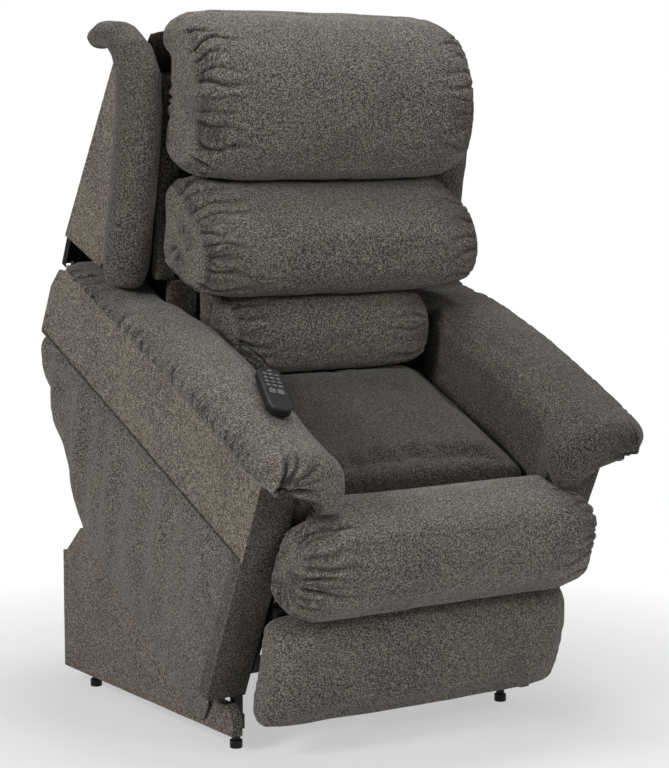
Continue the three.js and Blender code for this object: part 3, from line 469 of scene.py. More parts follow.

# %% [markdown]
# All covers are cut from one cloth, with one yarn and a factor for each use, so that they stay
# related. The factors paint light and shade into the colour: the flat panels and the base are
# painted lighter, and the seat, the wing rolls, the right arm pad, the arm fronts, the lower welts
# and the linings darker, as painted shade. The weave is tilted with the seat, except on the base.

# %% The chair's looks
YARN_DARK = (0.006, 0.0055, 0.005)
YARN_LIGHT = (0.47, 0.431, 0.383)
# Each use gives a factor for the dark yarn colour, one for the light yarn colour, and the weave's
# tilt. A factor over 1 is painted light and one under 1 painted shade.
cloths = {
    "cushion": (1.0, 1.0, -TILT),
    "panel": (1.15, (1.22, 1.12, 1.03), -TILT),
    "base": (1.1, (1.14, 1.05, 0.97), 0.0),
    "in_shade": (0.8, 0.6, -TILT),
    "seat": (0.7, 0.42, -TILT),
    "welt": (0.5, 0.5, -TILT),
}
looks = {
    use: chenille(f"chenille_{use}", scaled(YARN_DARK, dark), scaled(YARN_LIGHT, light), tilt)
    for use, (dark, light, tilt) in cloths.items()
}
looks["steel"] = powder_coat("steel_black", (0.012, 0.012, 0.013))
looks["timber"] = sawn_timber("timber_bare", (0.36, 0.22, 0.11), (0.62, 0.44, 0.26))
looks["plastic"] = moulded("plastic_black", (0.006, 0.006, 0.0065), 1400, 0.36)
looks["lead"] = moulded("lead_black", (0.006, 0.006, 0.006), 900, 0.4)
looks["keys"] = moulded("keys_grey", (0.11, 0.114, 0.12), 1800, 0.45)
looks["dust_cloth"] = moulded("dust_cloth_black", (0.010, 0.010, 0.010), 1100, 0.9)
print("looks", sorted(looks))

# %% [markdown]
# Every solid of the frame gets the look of its material slot. The leg rest's board and the back's
# frame are shown in black dust cloth instead, so that no bare wood shows between the cushions.

# %% Dressing the frame's own solids
def wear(piece, look):
    piece.data.materials.clear()
    piece.data.materials.append(looks[look])
    return piece


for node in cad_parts.values():
    slot = node.data.materials[0].name.split(".")[0]
    wear(node, {"fabric": "cushion"}.get(slot, slot if slot in looks else "plastic"))
for name in ("legrest_board", "back_frame"):
    wear(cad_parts[name], "dust_cloth")
wear(lead, "lead")
wear(sleeve, "lead")
print("dressed", len(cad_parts), "solids")

# %% [markdown]
# A soft piece starts as a copy of its solid, so it keeps the size and place. The copy's corners
# are welded, and a voxel remesh cuts it into small even faces that can bend anywhere.

# %% Copies of solids
def copy_of(node, name):
    piece = new_piece(name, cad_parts[node].data.copy())
    edit = bmesh.new()
    edit.from_mesh(piece.data)
    bmesh.ops.remove_doubles(edit, verts=edit.verts, dist=1e-5)
    bmesh.ops.recalc_face_normals(edit, faces=edit.faces)
    edit.to_mesh(piece.data)
    edit.free()
    return piece


def settle(piece):
    """Makes the modifiers' result the piece's own mesh."""
    mesh = finished_mesh(piece)
    mesh.name = piece.name
    piece.modifiers.clear()
    piece.data = mesh
    return piece


def remeshed(piece, size):
    modifier = piece.modifiers.new("even_faces", "REMESH")
    modifier.mode = "VOXEL"
    modifier.voxel_size = size
    modifier.use_smooth_shade = True
    return settle(piece)


def smoothed(piece, levels=1, rounds=0):
    if rounds:
        modifier = piece.modifiers.new("ease", "SMOOTH")
        modifier.iterations = rounds
        modifier.factor = 0.5
    if levels:
        modifier = piece.modifiers.new("finer", "SUBSURF")
        modifier.levels = levels
        modifier.render_levels = levels
    settle(piece)
    piece.data.shade_smooth()
    return piece


print("copies ready")

# %% [markdown]
# The shaping works on all points of a piece at once, as rows of an array. That is much faster
# than a loop, and the formulas stay short.

# %% Points as rows
def rows_of(piece, what):
    rows = np.empty(len(piece.data.vertices) * 3)
    piece.data.vertices.foreach_get(what, rows)
    return rows.reshape(-1, 3)


def points_of(piece):
    return rows_of(piece, "co")


def normals_of(piece):
    return rows_of(piece, "normal")


def move_points(piece, points):
    piece.data.vertices.foreach_set("co", np.ascontiguousarray(points, dtype=np.float64).ravel())
    piece.data.update()


print("points as rows ready")

# %% [markdown]
# Two things are kept at every point for the material to read: how deep it was pressed in, which
# it paints as shade, and the mask and direction of the fine creases. Where two seams meet, the
# stronger crease wins.

# %% Numbers for the material
FULL_FOLD = 7  # millimetres of depth that count as a whole fold


def held_values(piece, name):
    held = piece.data.attributes.get(name)
    values = np.zeros(len(piece.data.vertices), np.float32)
    if held is not None:
        held.data.foreach_get("value", values)
    return values


def hold_values(piece, name, values):
    held = piece.data.attributes.get(name) or piece.data.attributes.new(name, "FLOAT", "POINT")
    held.data.foreach_set("value", np.ascontiguousarray(values, dtype=np.float32))


def gather_lines(piece, mask, over, along):
    """Fine creases where the mask is 1. over runs across them and along follows them."""
    first_seam = piece.data.attributes.get("gather") is None
    stronger = first_seam | (mask > held_values(piece, "gather"))
    values = {"gather": mask, "gather_over": over / 1000, "gather_along": along / 1000}
    for name, new in values.items():
        hold_values(piece, name, np.where(stronger, new, held_values(piece, name)))


def press_in(piece, depth):
    """Presses every point in by its depth in millimetres, and notes it for the material, which
    paints shade by it.
    """
    move_points(piece, points_of(piece) - normals_of(piece) * (depth / 1000)[:, None])
    folded = np.clip(depth / FULL_FOLD, -0.35, 1)
    hold_values(piece, "fold", held_values(piece, "fold") + folded)


print("notes ready")

# %% [markdown]
# Stuffing pushes a cover out until the cloth holds it, and a cloth pass with inner pressure does
# the same. Left alone it would push the cover into its neighbours. So each point's travel is
# limited by a cap, and by less than half of the way to what lies ahead of it. Of travel inwards
# only a tenth is kept.

# %% Stuffing
CLOTH_STEPS = 20
LOOK_BACK = 0.002
SHARE_OF_GAP = 0.45
INWARD_LOSS = 0.9


def obstacles(nodes):
    vertices, faces = [], []
    for name in nodes:
        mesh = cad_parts[name].data
        first = len(vertices)
        vertices.extend(v.co.copy() for v in mesh.vertices)
        faces.extend([first + i for i in p.vertices] for p in mesh.polygons)
    return BVHTree.FromPolygons(vertices, faces)


def both(*names):
    """The names of both sides' solids."""
    return [f"{name}_{side}" for name in names for side, _ in SIDES]


def blow_up(piece, pressure=4.0):
    modifier = piece.modifiers.new("stuffing", "CLOTH")
    cloth = modifier.settings
    cloth.use_pressure = True
    cloth.uniform_pressure_force = pressure
    cloth.effector_weights.gravity = 0
    cloth.quality = 4
    modifier.point_cache.frame_start = 1
    modifier.point_cache.frame_end = CLOTH_STEPS
    for step in range(1, CLOTH_STEPS + 1):
        scene.frame_set(step)
    settle(piece)
    scene.frame_set(1)


def puffed(piece, cap, against):
    before, normals = points_of(piece), normals_of(piece)
    blow_up(piece)
    travel = points_of(piece) - before
    outwards = (travel * normals).sum(axis=1)
    travel += normals * (np.where(outwards < 0, -INWARD_LOSS, 0.0) * outwards)[:, None]
    tree = obstacles(against)
    size = np.linalg.norm(travel, axis=1)
    allowed = np.minimum(size, cap)
    for i in np.nonzero(size > 1e-6)[0]:
        way = Vector(travel[i] / size[i])
        reach = allowed[i] * 2 + 2 * LOOK_BACK
        hit = tree.ray_cast(Vector(before[i]) - way * LOOK_BACK, way, reach)
        if hit[0] is not None:
            allowed[i] = min(allowed[i], max((hit[3] - LOOK_BACK) * SHARE_OF_GAP, 0))
    travel *= (allowed / np.maximum(size, 1e-9))[:, None]
    move_points(piece, before + travel)
    print(piece.name, "travel", round(float(allowed.max() * 1000), 1), "mm")
    return piece


print("stuffing ready")

# %% [markdown]
# A gather is a narrow valley with a low swell on both sides that starts at a seam and fades out.
# Its profile is one bell curve less a wider and lower one.

# %% The profile of a gather
SWELL_HEIGHT, SWELL_WIDTH = 0.42, 2.3  # against the valley's depth and width


def fade(t):
    t = np.clip(t, 0, 1)
    return t * t * (3 - 2 * t)


def pressed(distance, width):
    """A valley with a swell on both sides, 1 deep."""
    valley = np.exp(-((distance / width) ** 2))
    return valley - SWELL_HEIGHT * np.exp(-((distance / (SWELL_WIDTH * width)) ** 2))


def arc_distance(angle, here, radius):
    """Millimetres round a circle between two angles in degrees."""
    return np.abs((angle - here + 180) % 360 - 180) * math.pi / 180 * radius


print("a gather's swell", SWELL_HEIGHT)

# %% [markdown]
# A bolster's end is drawn into a seam like the end of a sweet's wrapper. The gathers could be
# sculpted one by one. Here they start on a ring near the end and run inwards, each with its own
# length, slant and wave from a seeded generator, so each run gives the same chair.

# %% Gathers round a bolster's end
def end_gathers(piece, seed, end, centre, count, reach, depth, width, seam, ring):
    """end is the bolster's end on the x axis, and centre is the middle of its section."""
    rng = random.Random(seed)
    at = chair_coordinates(points_of(piece))
    first, second = at[:, 1] - centre[0], at[:, 2] - centre[1]
    angle = np.degrees(np.arctan2(second, first))
    radius = np.hypot(first, second)
    wavy_seam = seam * (1 + 0.25 * np.sin(np.radians(angle * 2 + seed * 50)))
    inward = np.abs(end - at[:, 0]) - wavy_seam
    press = ring * np.exp(-((inward / 6) ** 2)) * fade(radius / 30)
    for k in range(count):
        start = -180 + 360 * (k + 0.5 + rng.uniform(-0.35, 0.35)) / count
        length = rng.uniform(*reach)
        lean = rng.uniform(-14, 14)
        wave = rng.uniform(0, 6.28)
        t = inward / length
        here = start + lean * t + 2.5 * np.sin(inward / 17 + wave)
        wide = rng.uniform(*width) * (0.7 + 0.7 * np.clip(t, 0, 1))
        strength = (1 - fade(t)) * fade(radius / 30) * fade((inward + 12) / 12)
        press += rng.uniform(*depth) * pressed(arc_distance(angle, here, radius), wide) * strength
    patchy = 0.55 + 0.45 * np.sin(angle / 23 + seed) * np.sin(angle / 9 + 2 * seed)
    near_seam = (1 - fade(inward / (0.6 * reach[1]))) * fade((inward + 14) / 12)
    gather_lines(piece, patchy * near_seam * fade(radius / 40), np.radians(angle) * radius, inward)
    press_in(piece, press)


print("end gathers ready")

# %% [markdown]
# At the rounded nose of an arm pad the cover is eased round a corner, so its gathers spread from
# one point. Only the faces that look forward are pressed.

# %% Gathers that spread like a fan
FAN_SPACING = 55  # millimetres that one radian counts as, for the fine creases


def fan_gathers(piece, seed, focus, angles, count, near, reach, depth, width, side):
    """focus is a point in x and w. angles is the fan's first and last direction in degrees."""
    rng = random.Random(seed)
    at = chair_coordinates(points_of(piece))
    seen = fade((normals_of(piece) @ np.array(tuple(-ALONG))) * 2.2) * (np.sign(at[:, 0]) == side)
    a, b = at[:, 0] - focus[0], at[:, 2] - focus[1]
    angle, radius = np.degrees(np.arctan2(b, a)), np.hypot(a, b)
    press = np.zeros(len(at))
    for k in range(count):
        start = angles[0] + (angles[1] - angles[0]) * (k + 0.5 + rng.uniform(-0.3, 0.3)) / count
        length = rng.uniform(*reach)
        bend = rng.uniform(-9, 9)
        t = (radius - near) / length
        here = start + bend * np.clip(t, 0, 1)
        wide = rng.uniform(*width) * (0.75 + 0.6 * np.clip(t, 0, 1))
        valley = pressed(arc_distance(angle, here, radius), wide)
        press += rng.uniform(*depth) * valley * (1 - fade(t)) * fade((radius - near + 20) / 25)
    spread_of_fan = fade((angle - min(angles) + 12) / 14) * fade((max(angles) + 12 - angle) / 14)
    mask = seen * spread_of_fan * (1 - fade((radius - near) / (0.8 * reach[1])))
    gather_lines(piece, mask, np.radians(angle) * FAN_SPACING, radius)
    press_in(piece, press * seen)


print("fan gathers ready")

# %% [markdown]
# Along a straight seam the cover is puckered: short gathers stand across it at uneven steps, and
# the seam lies in a shallow groove.

# %% Puckers along a seam
SEAM_GROOVE = 4.5


def seam_puckers(piece, seed, up, low, high, step, reach, depth, width):
    """The seam runs along v from low to high. up gives each point's height over the seam."""
    rng = random.Random(seed)
    at = chair_coordinates(points_of(piece))
    run, height = at[:, 1], up(at)
    press = np.zeros(len(at))
    pucker = low
    while pucker < high:
        length = rng.uniform(*reach)
        slant = rng.uniform(-0.35, 0.35)
        t = height / length
        distance = np.abs(run - pucker - slant * height - 2 * np.sin(height / 13 + pucker))
        near_end = min(pucker - low, high - pucker)
        strength = rng.uniform(*depth) * min(1, 0.3 + near_end / 60)
        press += strength * pressed(distance, rng.uniform(*width)) * (1 - fade(t)) * (height > -6)
        pucker += rng.uniform(*step)
    # The groove is pressed in, so the material also paints shade along it.
    press += SEAM_GROOVE * np.exp(-(((height - 4) / 7) ** 2))
    inside = fade((run - low + 10) / 30) * fade((high + 10 - run) / 30)
    patchy = 0.6 + 0.4 * np.sin(run / 37) * np.sin(run / 13 + seed)
    mask = inside * patchy * (1 - fade((height - 15) / (0.75 * reach[1]))) * (height > -6)
    gather_lines(piece, mask, run, height)
    press_in(piece, press)


print("puckers ready")

# %% [markdown]
# Between the seams a stuffed cover still has low uneven swells, made here by two sizes of noise.
# The last helper hands a finished piece over: which solid it replaces, which body it rides on and
# which look it wears.

# %% Swells, and handing a piece over
def rumpled(piece, size, amount, seed):
    points, normals = points_of(piece), normals_of(piece)
    shift = Vector((seed * 3.7, seed * 1.9, seed * 5.3))
    swell = []
    for p in points:
        broad = noise.noise(Vector(p) / size + shift)
        swell.append(broad + 0.5 * noise.noise(Vector(p) / size * 2.3 + shift))
    move_points(piece, points + normals * (np.array(swell) * amount)[:, None])


def trim(piece, body, look):
    """A thin piece of cloth that has no solid of its own."""
    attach(piece, body)
    return wear(piece, look)


def dress(piece, node, body, look):
    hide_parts(node)
    trim(piece, body, look)
    return piece


print("soft tools ready")

# %% [markdown]
# The back has three bolsters one over the other: a head roll, a middle one as wide, and a narrow
# one between the arms. Each is stuffed, and then gathered at both ends, deeper at the left.

# %% The back's bolsters
VOXEL = 0.0075
PILLOW_SWELL = (0.11, 0.0022)
back_neighbours = ["back_frame"] + both("wing_roll", "arm_pad")
# half width, middle of the section in v and w, cap of the stuffing, gathers, what it rests on
pillows = {
    "head": (346, (700, 980), 0.012, 22, ["back_cushion_middle"]),
    "middle": (346, (560, 722), 0.012, 18, ["back_cushion_head", "back_cushion_lower"]),
    "lower": (248, (530, 540), 0.010, 14, ["back_cushion_middle", "seat_cushion"]),
}
for seed, (level, (half, centre, cap, count, touching)) in enumerate(pillows.items()):
    node = f"back_cushion_{level}"
    piece = remeshed(copy_of(node, f"pillow_{level}"), VOXEL)
    puffed(piece, cap, back_neighbours + touching)
    smoothed(piece, 1, 2)
    for s, depth, ring in ((-1, (8, 16), 2.0), (1, (5, 10), 0.0)):
        end_gathers(
            piece, seed * 2 + s, s * half, centre, count, (60, 180), depth, (4.5, 8), 12, ring
        )
    rumpled(piece, *PILLOW_SWELL, seed + 1)
    dress(piece, node, "back", "cushion")
    print(piece.name, len(piece.data.vertices), "points")

# %% [markdown]
# The seat has a flat cushion, with a roll in front of it that wraps round both arms. The leg
# rest's pad is folded under the roll. Only the roll is gathered, at its ends.

# %% The seat, its roll and the leg pad
ROLL_HALF, ROLL_MIDDLE = 358, (-60, 350)


piece = remeshed(copy_of("seat_cushion", "seat_pad"), VOXEL)
seat_neighbours = ["seat_frame", "seat_front_roll", "back_cushion_lower"]
puffed(piece, 0.022, seat_neighbours + both("arm_frame", "arm_pad"))
smoothed(piece, 1, 2)
rumpled(piece, 0.16, 0.003, 7)
# The seat pad is painted darker, as painted shade.
dress(piece, "seat_cushion", "carriage", "seat")

piece = remeshed(copy_of("seat_front_roll", "front_roll"), VOXEL)
roll_neighbours = ["seat_cushion", "legrest_pad", "carriage_frame", "seat_frame"]
puffed(piece, 0.014, roll_neighbours + both("arm_frame", "arm_front_panel", "arm_pad"))
smoothed(piece, 1, 2)
for s in (-1, 1):
    end_gathers(piece, 20 + s, s * ROLL_HALF, ROLL_MIDDLE, 20, (60, 170), (6, 12), (5, 8), 10, 0.0)
rumpled(piece, 0.13, 0.0025, 9)
dress(piece, "seat_front_roll", "carriage", "cushion")

piece = remeshed(copy_of("legrest_pad", "leg_pad"), VOXEL)
puffed(piece, 0.012, ["legrest_board", "seat_front_roll"] + both("arm_front_panel"))
smoothed(piece, 1, 2)
rumpled(piece, 0.15, 0.0022, 11)
dress(piece, "legrest_pad", "legrest", "cushion")
print("seat dressed")

# %% [markdown]
# An arm pad droops at its nose, over the arm's front and inner edge, and is pulled down thin at
# its tail. A cloth pass would push it into the hard edges it lies on, so it is bent by formula.

# %% Bending the arm pads
NOSE_IN, NOSE_DOWN, NOSE_OUT = 0.026, 0.034, 0.012


def bend_pad(piece, s):
    points = points_of(piece)
    at = chair_coordinates(points)
    out = s * at[:, 0]
    nose = fade((50 - at[:, 1]) / 90)
    inner = fade((405 - out) / 70)
    droop = nose * fade((600 - at[:, 2]) / 70)
    points[:, 0] -= s * NOSE_IN * nose * inner
    points -= np.outer(NOSE_DOWN * droop * (0.25 + 0.75 * inner), np.array(UP))
    points -= np.outer(NOSE_OUT * nose, np.array(ALONG))
    lip = np.maximum(out - 424, 0) * fade((at[:, 1] - 790) / 55)
    tail = fade((at[:, 1] - 825) / 30) * (out > 300)
    lowered = lip * 0.25 + tail * np.maximum(at[:, 2] - 505, 0) * 0.55
    points[:, 0] -= s * lip / 1000
    points -= np.outer(lowered / 1000, np.array(UP))
    move_points(piece, points)


print("nose hangs", NOSE_DOWN, "m")

# %% [markdown]
# The pad's outer edge is sewn to the side panel, with puckers over that seam. Their height is
# measured along the pad's face and over its crown. At the nose two fans of gathers meet at the
# seam over the front panel.

# %% Gathering the arm pads
PAD_EDGE, FACE_LOW, FACE_OUT = 549, 546, 475


def pad_height(out, w):
    """Height over the pad's lower outer edge, along its face and over its crown."""
    face = w - FACE_LOW + np.maximum(FACE_OUT - out, 0) * 0.9
    height = np.where(w < PAD_EDGE, out - 480, face)
    return np.where(out > 372, height, 999.0)


def arm_pad(name, s):
    piece = remeshed(copy_of(f"arm_pad_{name}", f"armrest_{name}"), 0.0065)
    smoothed(piece, 1, 3)
    bend_pad(piece, s)

    def height(at):
        return pad_height(s * at[:, 0], at[:, 2])

    seam_puckers(piece, 30 + s, height, -20, 800, (14, 30), (45, 110), (5, 10), (4.5, 8))
    over, under = ((178, 100), (182, 235)) if s > 0 else ((2, 80), (-2, -55))
    deep = (5, 9) if s > 0 else (8, 14)
    for seed, w, angles, count in ((40 + s, 530, over, 10), (50 + s, 540, under, 8)):
        fan_gathers(piece, seed, (s * 436, w), angles, count, 16, (70, 140), deep, (4.5, 7.5), s)
    rumpled(piece, 0.09, 0.0022, 30 + s)
    piece.data.shade_smooth()
    # The right pad is painted darker, as painted shade.
    dress(piece, f"arm_pad_{name}", "carriage", "cushion" if s < 0 else "in_shade")


print("arm pads ready")

# %% [markdown]
# The wings end in thick firm rolls that curl back over the top. They are too firm to fold, so
# small faces and low swells are all they need.

# %% Arm pads and wing rolls
def wing_bolster(name, s):
    piece = remeshed(copy_of(f"wing_roll_{name}", f"wing_bolster_{name}"), 0.005)
    smoothed(piece, 0, 3)
    rumpled(piece, 0.05, 0.0016, 60 + s)
    piece.data.shade_smooth()
    # The wing rolls are painted darker, as painted shade.
    dress(piece, f"wing_roll_{name}", "back", "in_shade")


for name, s in SIDES:
    arm_pad(name, s)
    wing_bolster(name, s)
print("arms and wings dressed")

# %% [markdown]
# Flat upholstered panels keep the outline of their solid. What tells them from boards is small:
# rolled edges, and a face that isn't quite flat. The edges are bevelled, and planes cut the face
# into a grid, so that the swells have points to move.

# %% Upholstered panels
EDGE_ROLL, GRID_SPACING, PANEL_SLACK = 0.0011, 0.014, 0.0006


def cut_into_grid(edit, thin):
    """Cuts the mesh by planes across every axis but the thin one."""
    points = np.array([v.co for v in edit.verts])
    for axis in range(3):
        if axis == thin:
            continue
        low, high = points[:, axis].min(), points[:, axis].max()
        for k in range(1, int((high - low) / GRID_SPACING)):
            middle, direction = Vector((0, 0, 0)), Vector((0, 0, 0))
            middle[axis] = low + GRID_SPACING * k
            direction[axis] = 1
            everything = [*edit.verts, *edit.edges, *edit.faces]
            bmesh.ops.bisect_plane(
                edit, geom=everything, plane_co=middle, plane_no=direction, dist=1e-6
            )


def panel(node, name, thin, seed):
    piece = copy_of(node, name)
    edit = bmesh.new()
    edit.from_mesh(piece.data)
    bmesh.ops.dissolve_limit(
        edit, angle_limit=math.radians(1), verts=edit.verts, edges=edit.edges
    )
    sharp = math.radians(25)
    edges = [e for e in edit.edges if len(e.link_faces) == 2 and e.calc_face_angle() > sharp]
    bmesh.ops.bevel(
        edit, geom=edges, offset=EDGE_ROLL, segments=3, affect="EDGES", profile=0.6
    )
    cut_into_grid(edit, thin)
    edit.to_mesh(piece.data)
    edit.free()
    piece.data.update()
    rumpled(piece, 0.12, PANEL_SLACK, seed)
    piece.data.shade_smooth()
    return piece


print("panels are cut every", GRID_SPACING, "m")

# %% [markdown]
# Each side has a panel on the arm, on the base, on the wing and over the arm's front, and two
# more close the rear of the base and of the back. The arm's side panel follows the pad's tail
# down.

# %% Covering the panels
# The side, base and wing panels are painted lighter, as painted light, and the front covers
# darker, as painted shade.
side_panels = [
    ("side_panel", "side_cover", 0, "carriage", "panel"),
    ("base_side_panel", "base_cover", 0, "base", "base"),
    ("wing_side_panel", "wing_cover", 0, "back", "panel"),
    ("arm_front_panel", "front_cover", 1, "carriage", "in_shade"),
]


def lower_rear(piece):
    points = points_of(piece)
    at = chair_coordinates(points)
    lowered = fade((at[:, 1] - 812) / 60) * np.maximum(at[:, 2] - 488, 0) * 0.6
    move_points(piece, points - np.outer(lowered / 1000, np.array(UP)))


for name, s in SIDES:
    for node, cover_name, thin, body, look in side_panels:
        piece = panel(f"{node}_{name}", f"{cover_name}_{name}", thin, 70 + s)
        if node == "side_panel":
            lower_rear(piece)
        dress(piece, f"{node}_{name}", body, look)
dress(panel("base_rear_panel", "base_cover_rear", 1, 80), "base_rear_panel", "base", "base")
dress(panel("back_outer_panel", "back_cover", 1, 81), "back_outer_panel", "back", "panel")
print("panels dressed")

# %% [markdown]
# Between the bolsters' ends and the wings the back board is lined with the cover's cloth, painted
# dark as shade, in thin padded strips that roll over its edge. The section is the same at every
# height, so one section is carried up the board.

# %% Linings on the back board
LINING_STEPS = 50


def board_front(w):
    """Where the front of the back board stands at a height."""
    return 555 + (w - 345) * 235 / 715


def mesh_piece(name, edit):
    mesh = bpy.data.meshes.new(name)
    edit.to_mesh(mesh)
    edit.free()
    return new_piece(name, mesh)


def lining(name, s, edge, low, high, width):
    face = [(-width, -1.0), (5 - width, -1.6), (-19, -2.4), (-9, -2.6), (-3, -1.2), (0, 6.0)]
    back = [(-2, 7.0), (-4.6, 0.4), (-9, -0.9), (-19, -0.8), (5 - width, -0.6), (-width, -0.5)]
    ring = [(edge + x, dv) for x, dv in [*face, (0, 16.0), (-2, 16.0), *back]]
    edit = bmesh.new()
    rows = []
    for k in range(LINING_STEPS + 1):
        w = low + (high - low) * k / LINING_STEPS
        rows.append([edit.verts.new(place(s * x, board_front(w) + dv, w)) for x, dv in ring])
    for a, b in zip(rows, rows[1:]):
        for i in range(len(ring)):
            j = (i + 1) % len(ring)
            edit.faces.new((a[i], a[j], b[j], b[i]))
    edit.faces.new(rows[0][::-1])
    edit.faces.new(rows[-1])
    bmesh.ops.recalc_face_normals(edit, faces=edit.faces)
    piece = mesh_piece(name, edit)
    piece.data.shade_smooth()
    return trim(piece, "back", "welt")


print("linings ready")

# %% [markdown]
# The inside of each arm is faced with the same cloth, painted darker as shade, a thin plate with
# rounded edges. Covers that have to bend are a grid of points, made thick by a modifier.

# %% Facings and thin covers
FACING_AT, FACING_THICK = 330.4, 0.0012


def arm_lining(name, s):
    edit = bmesh.new()
    corners = [(0.6, 152), (300, 152), (300, 394), (0.6, 394)]
    face = edit.faces.new([edit.verts.new(place(s * FACING_AT, v, w)) for v, w in corners])
    moved = bmesh.ops.extrude_face_region(edit, geom=[face])["geom"]
    moved = [g for g in moved if isinstance(g, bmesh.types.BMVert)]
    bmesh.ops.translate(edit, verts=moved, vec=(-s * FACING_THICK, 0, 0))
    bmesh.ops.recalc_face_normals(edit, faces=edit.faces)
    bmesh.ops.bevel(edit, geom=edit.edges[:], offset=0.0004, segments=2, affect="EDGES")
    return trim(mesh_piece(name, edit), "carriage", "welt")


def cover(name, rows, thickness, body, look):
    """A thin closed sheet through a grid of points given as x, v, w."""
    edit = bmesh.new()
    grid = [[edit.verts.new(place(*p)) for p in row] for row in rows]
    for a, b in zip(grid, grid[1:]):
        for i in range(len(a) - 1):
            edit.faces.new((a[i], a[i + 1], b[i + 1], b[i]))
    piece = mesh_piece(name, edit)
    modifier = piece.modifiers.new("thickness", "SOLIDIFY")
    modifier.thickness = thickness
    modifier.offset = 0
    modifier = piece.modifiers.new("soft_edge", "BEVEL")
    modifier.width = thickness * 0.35
    modifier.segments = 2
    modifier.limit_method = "ANGLE"
    settle(piece)
    piece.data.shade_smooth()
    return trim(piece, body, look)


def across(low, high, count):
    """Evenly spaced numbers from low to high."""
    return [low + (high - low) * k / count for k in range(count + 1)]


print("covers ready")

# %% [markdown]
# Two covers run across the whole back, one under the lowest bolster and one from the head roll
# over the top of the frame. The top one falls off towards its ends.

# %% Covers across the back
TOP_HALF = 352
TOP_CURVE = [(855.5, 992), (858, 1004), (859, 1018), (858, 1034), (855, 1050)]
TOP_CURVE += [(851, 1064), (848, 1074)]


def over_the_top(x, v, w):
    return x, v - 5 * (x / TOP_HALF) ** 4, w - 14 * (x / TOP_HALF) ** 8


seat_rows = [
    [(x, board_front(w) - 1.2, w) for x in across(-306, 306, 36)] for w in across(350, 461, 8)
]
cover("back_lining_seat", seat_rows, 0.0014, "back", "cushion")
top_rows = [
    [over_the_top(x, v, w) for x in across(-TOP_HALF, TOP_HALF, 40)] for v, w in TOP_CURVE
]
cover("back_top_cover", top_rows, 0.002, "back", "cushion")
print("back covered at", len(TOP_CURVE), "levels over the top")

# %% [markdown]
# Each arm's sloping rear end has a cover, and its inside behind the seat another. Under each wing
# a black skirt fills the gap to the arm, short enough to clear the arm when the back leans.

# %% Covers on the arms and under the wings
ARM_REAR, SKIRT_OUT, SKIRT_TOP = 912, 412, 566
REAR_CURVE = [(889, 480), (894, 470), (902, 458), (910, 444), (916.6, 432), (917.2, 424)]
REAR_CURVE += [(917.2, w) for w in across(408, 330, 6)]


def skirt_low(x):
    """The skirt hangs lower inside the arm than over it."""
    return 430 + 70 * min(max((x - 322) / 10, 0), 1)


def skirt_rows(s):
    flat = [
        [(s * x, ARM_REAR, w) for w in across(skirt_low(x), SKIRT_TOP, 8)]
        for x in across(302, SKIRT_OUT, 11)
    ]
    turned = [
        [(s * SKIRT_OUT, ARM_REAR - d, w) for w in across(500, SKIRT_TOP, 8)]
        for d in (6, 12, 18)
    ]
    return flat + turned


for name, s in SIDES:
    rear_rows = [[(s * x, v, w) for x in across(332, 417.4, 8)] for v, w in REAR_CURVE]
    cover(f"arm_rear_cover_{name}", rear_rows, 0.0014, "carriage", "panel")
    inner_rows = [
        [(s * 330, v, w) for w in across(332, min(505, 428 + (ARM_REAR - v) * 1.7), 6)]
        for v in across(620, ARM_REAR, 12)
    ]
    # The inside cover is painted darker, as painted shade.
    cover(f"arm_inner_cover_{name}", inner_rows, 0.0012, "carriage", "welt")
    lining(f"back_lining_{name}", s, 343, 600, 1000, 46)
    lining(f"back_lining_low_{name}", s, 307, 420, 598, 68)
    arm_lining(f"arm_lining_{name}", s)
    cover(f"wing_skirt_{name}", skirt_rows(s), 0.0014, "back", "dust_cloth")
print("arms and wings lined")

# %% [markdown]
# A welt is a thin piped cord that closes a seam. Three are made on each side: along the side
# panel's hem, between that panel and the arm pad, and up the wing's front edge. The first two lie
# in shadow and are painted darker, as painted shade; the third is painted lighter, like the
# panels.

# %% Welts
HEM_RADIUS, ARM_RADIUS, WING_RADIUS = 0.0032, 0.0024, 0.0022
WING_EDGE = [(731.5, 602), (771, 766), (811.5, 930), (827.5, 999)]
for name, s in SIDES:
    hem = [place(s * 422, v, 329.5) for v in across(8, 920, 60)]
    trim(tube(f"hem_welt_{name}", hem, HEM_RADIUS), "carriage", "welt")
    seam = [place(s * 424.6, 6 + 806 * k / 60, 527.5 + 12 * k / 60) for k in range(61)]
    trim(tube(f"arm_welt_{name}", seam, ARM_RADIUS), "carriage", "welt")
    edge = smooth_line([place(s * 417.2, v, w) for v, w in WING_EDGE], 16)
    trim(tube(f"wing_welt_{name}", edge, WING_RADIUS), "back", "panel")
print("welts", HEM_RADIUS, ARM_RADIUS, WING_RADIUS)

# %% [markdown]
# The lift curtain closes the gap between the moving hem and the base, as one strip of cloth round
# both sides and the rear. Its solid's long triangles are joined and then subdivided, so that
# folds can be laid into it.

# %% The curtain's cloth
curtain = copy_of("lift_curtain", "curtain")
edit = bmesh.new()
edit.from_mesh(curtain.data)
bmesh.ops.join_triangles(
    edit, faces=edit.faces, angle_face_threshold=3.1, angle_shape_threshold=3.1
)
edit.to_mesh(curtain.data)
edit.free()
smoothed(curtain, 2)
print("curtain", len(curtain.data.vertices), "points")

# %% [markdown]
# The folds start under the hem and die out lower down. They could be simulated, but a sum of two
# waves can be placed exactly. At the rear the cloth also bows out, to stand clear of the back
# when that leans.

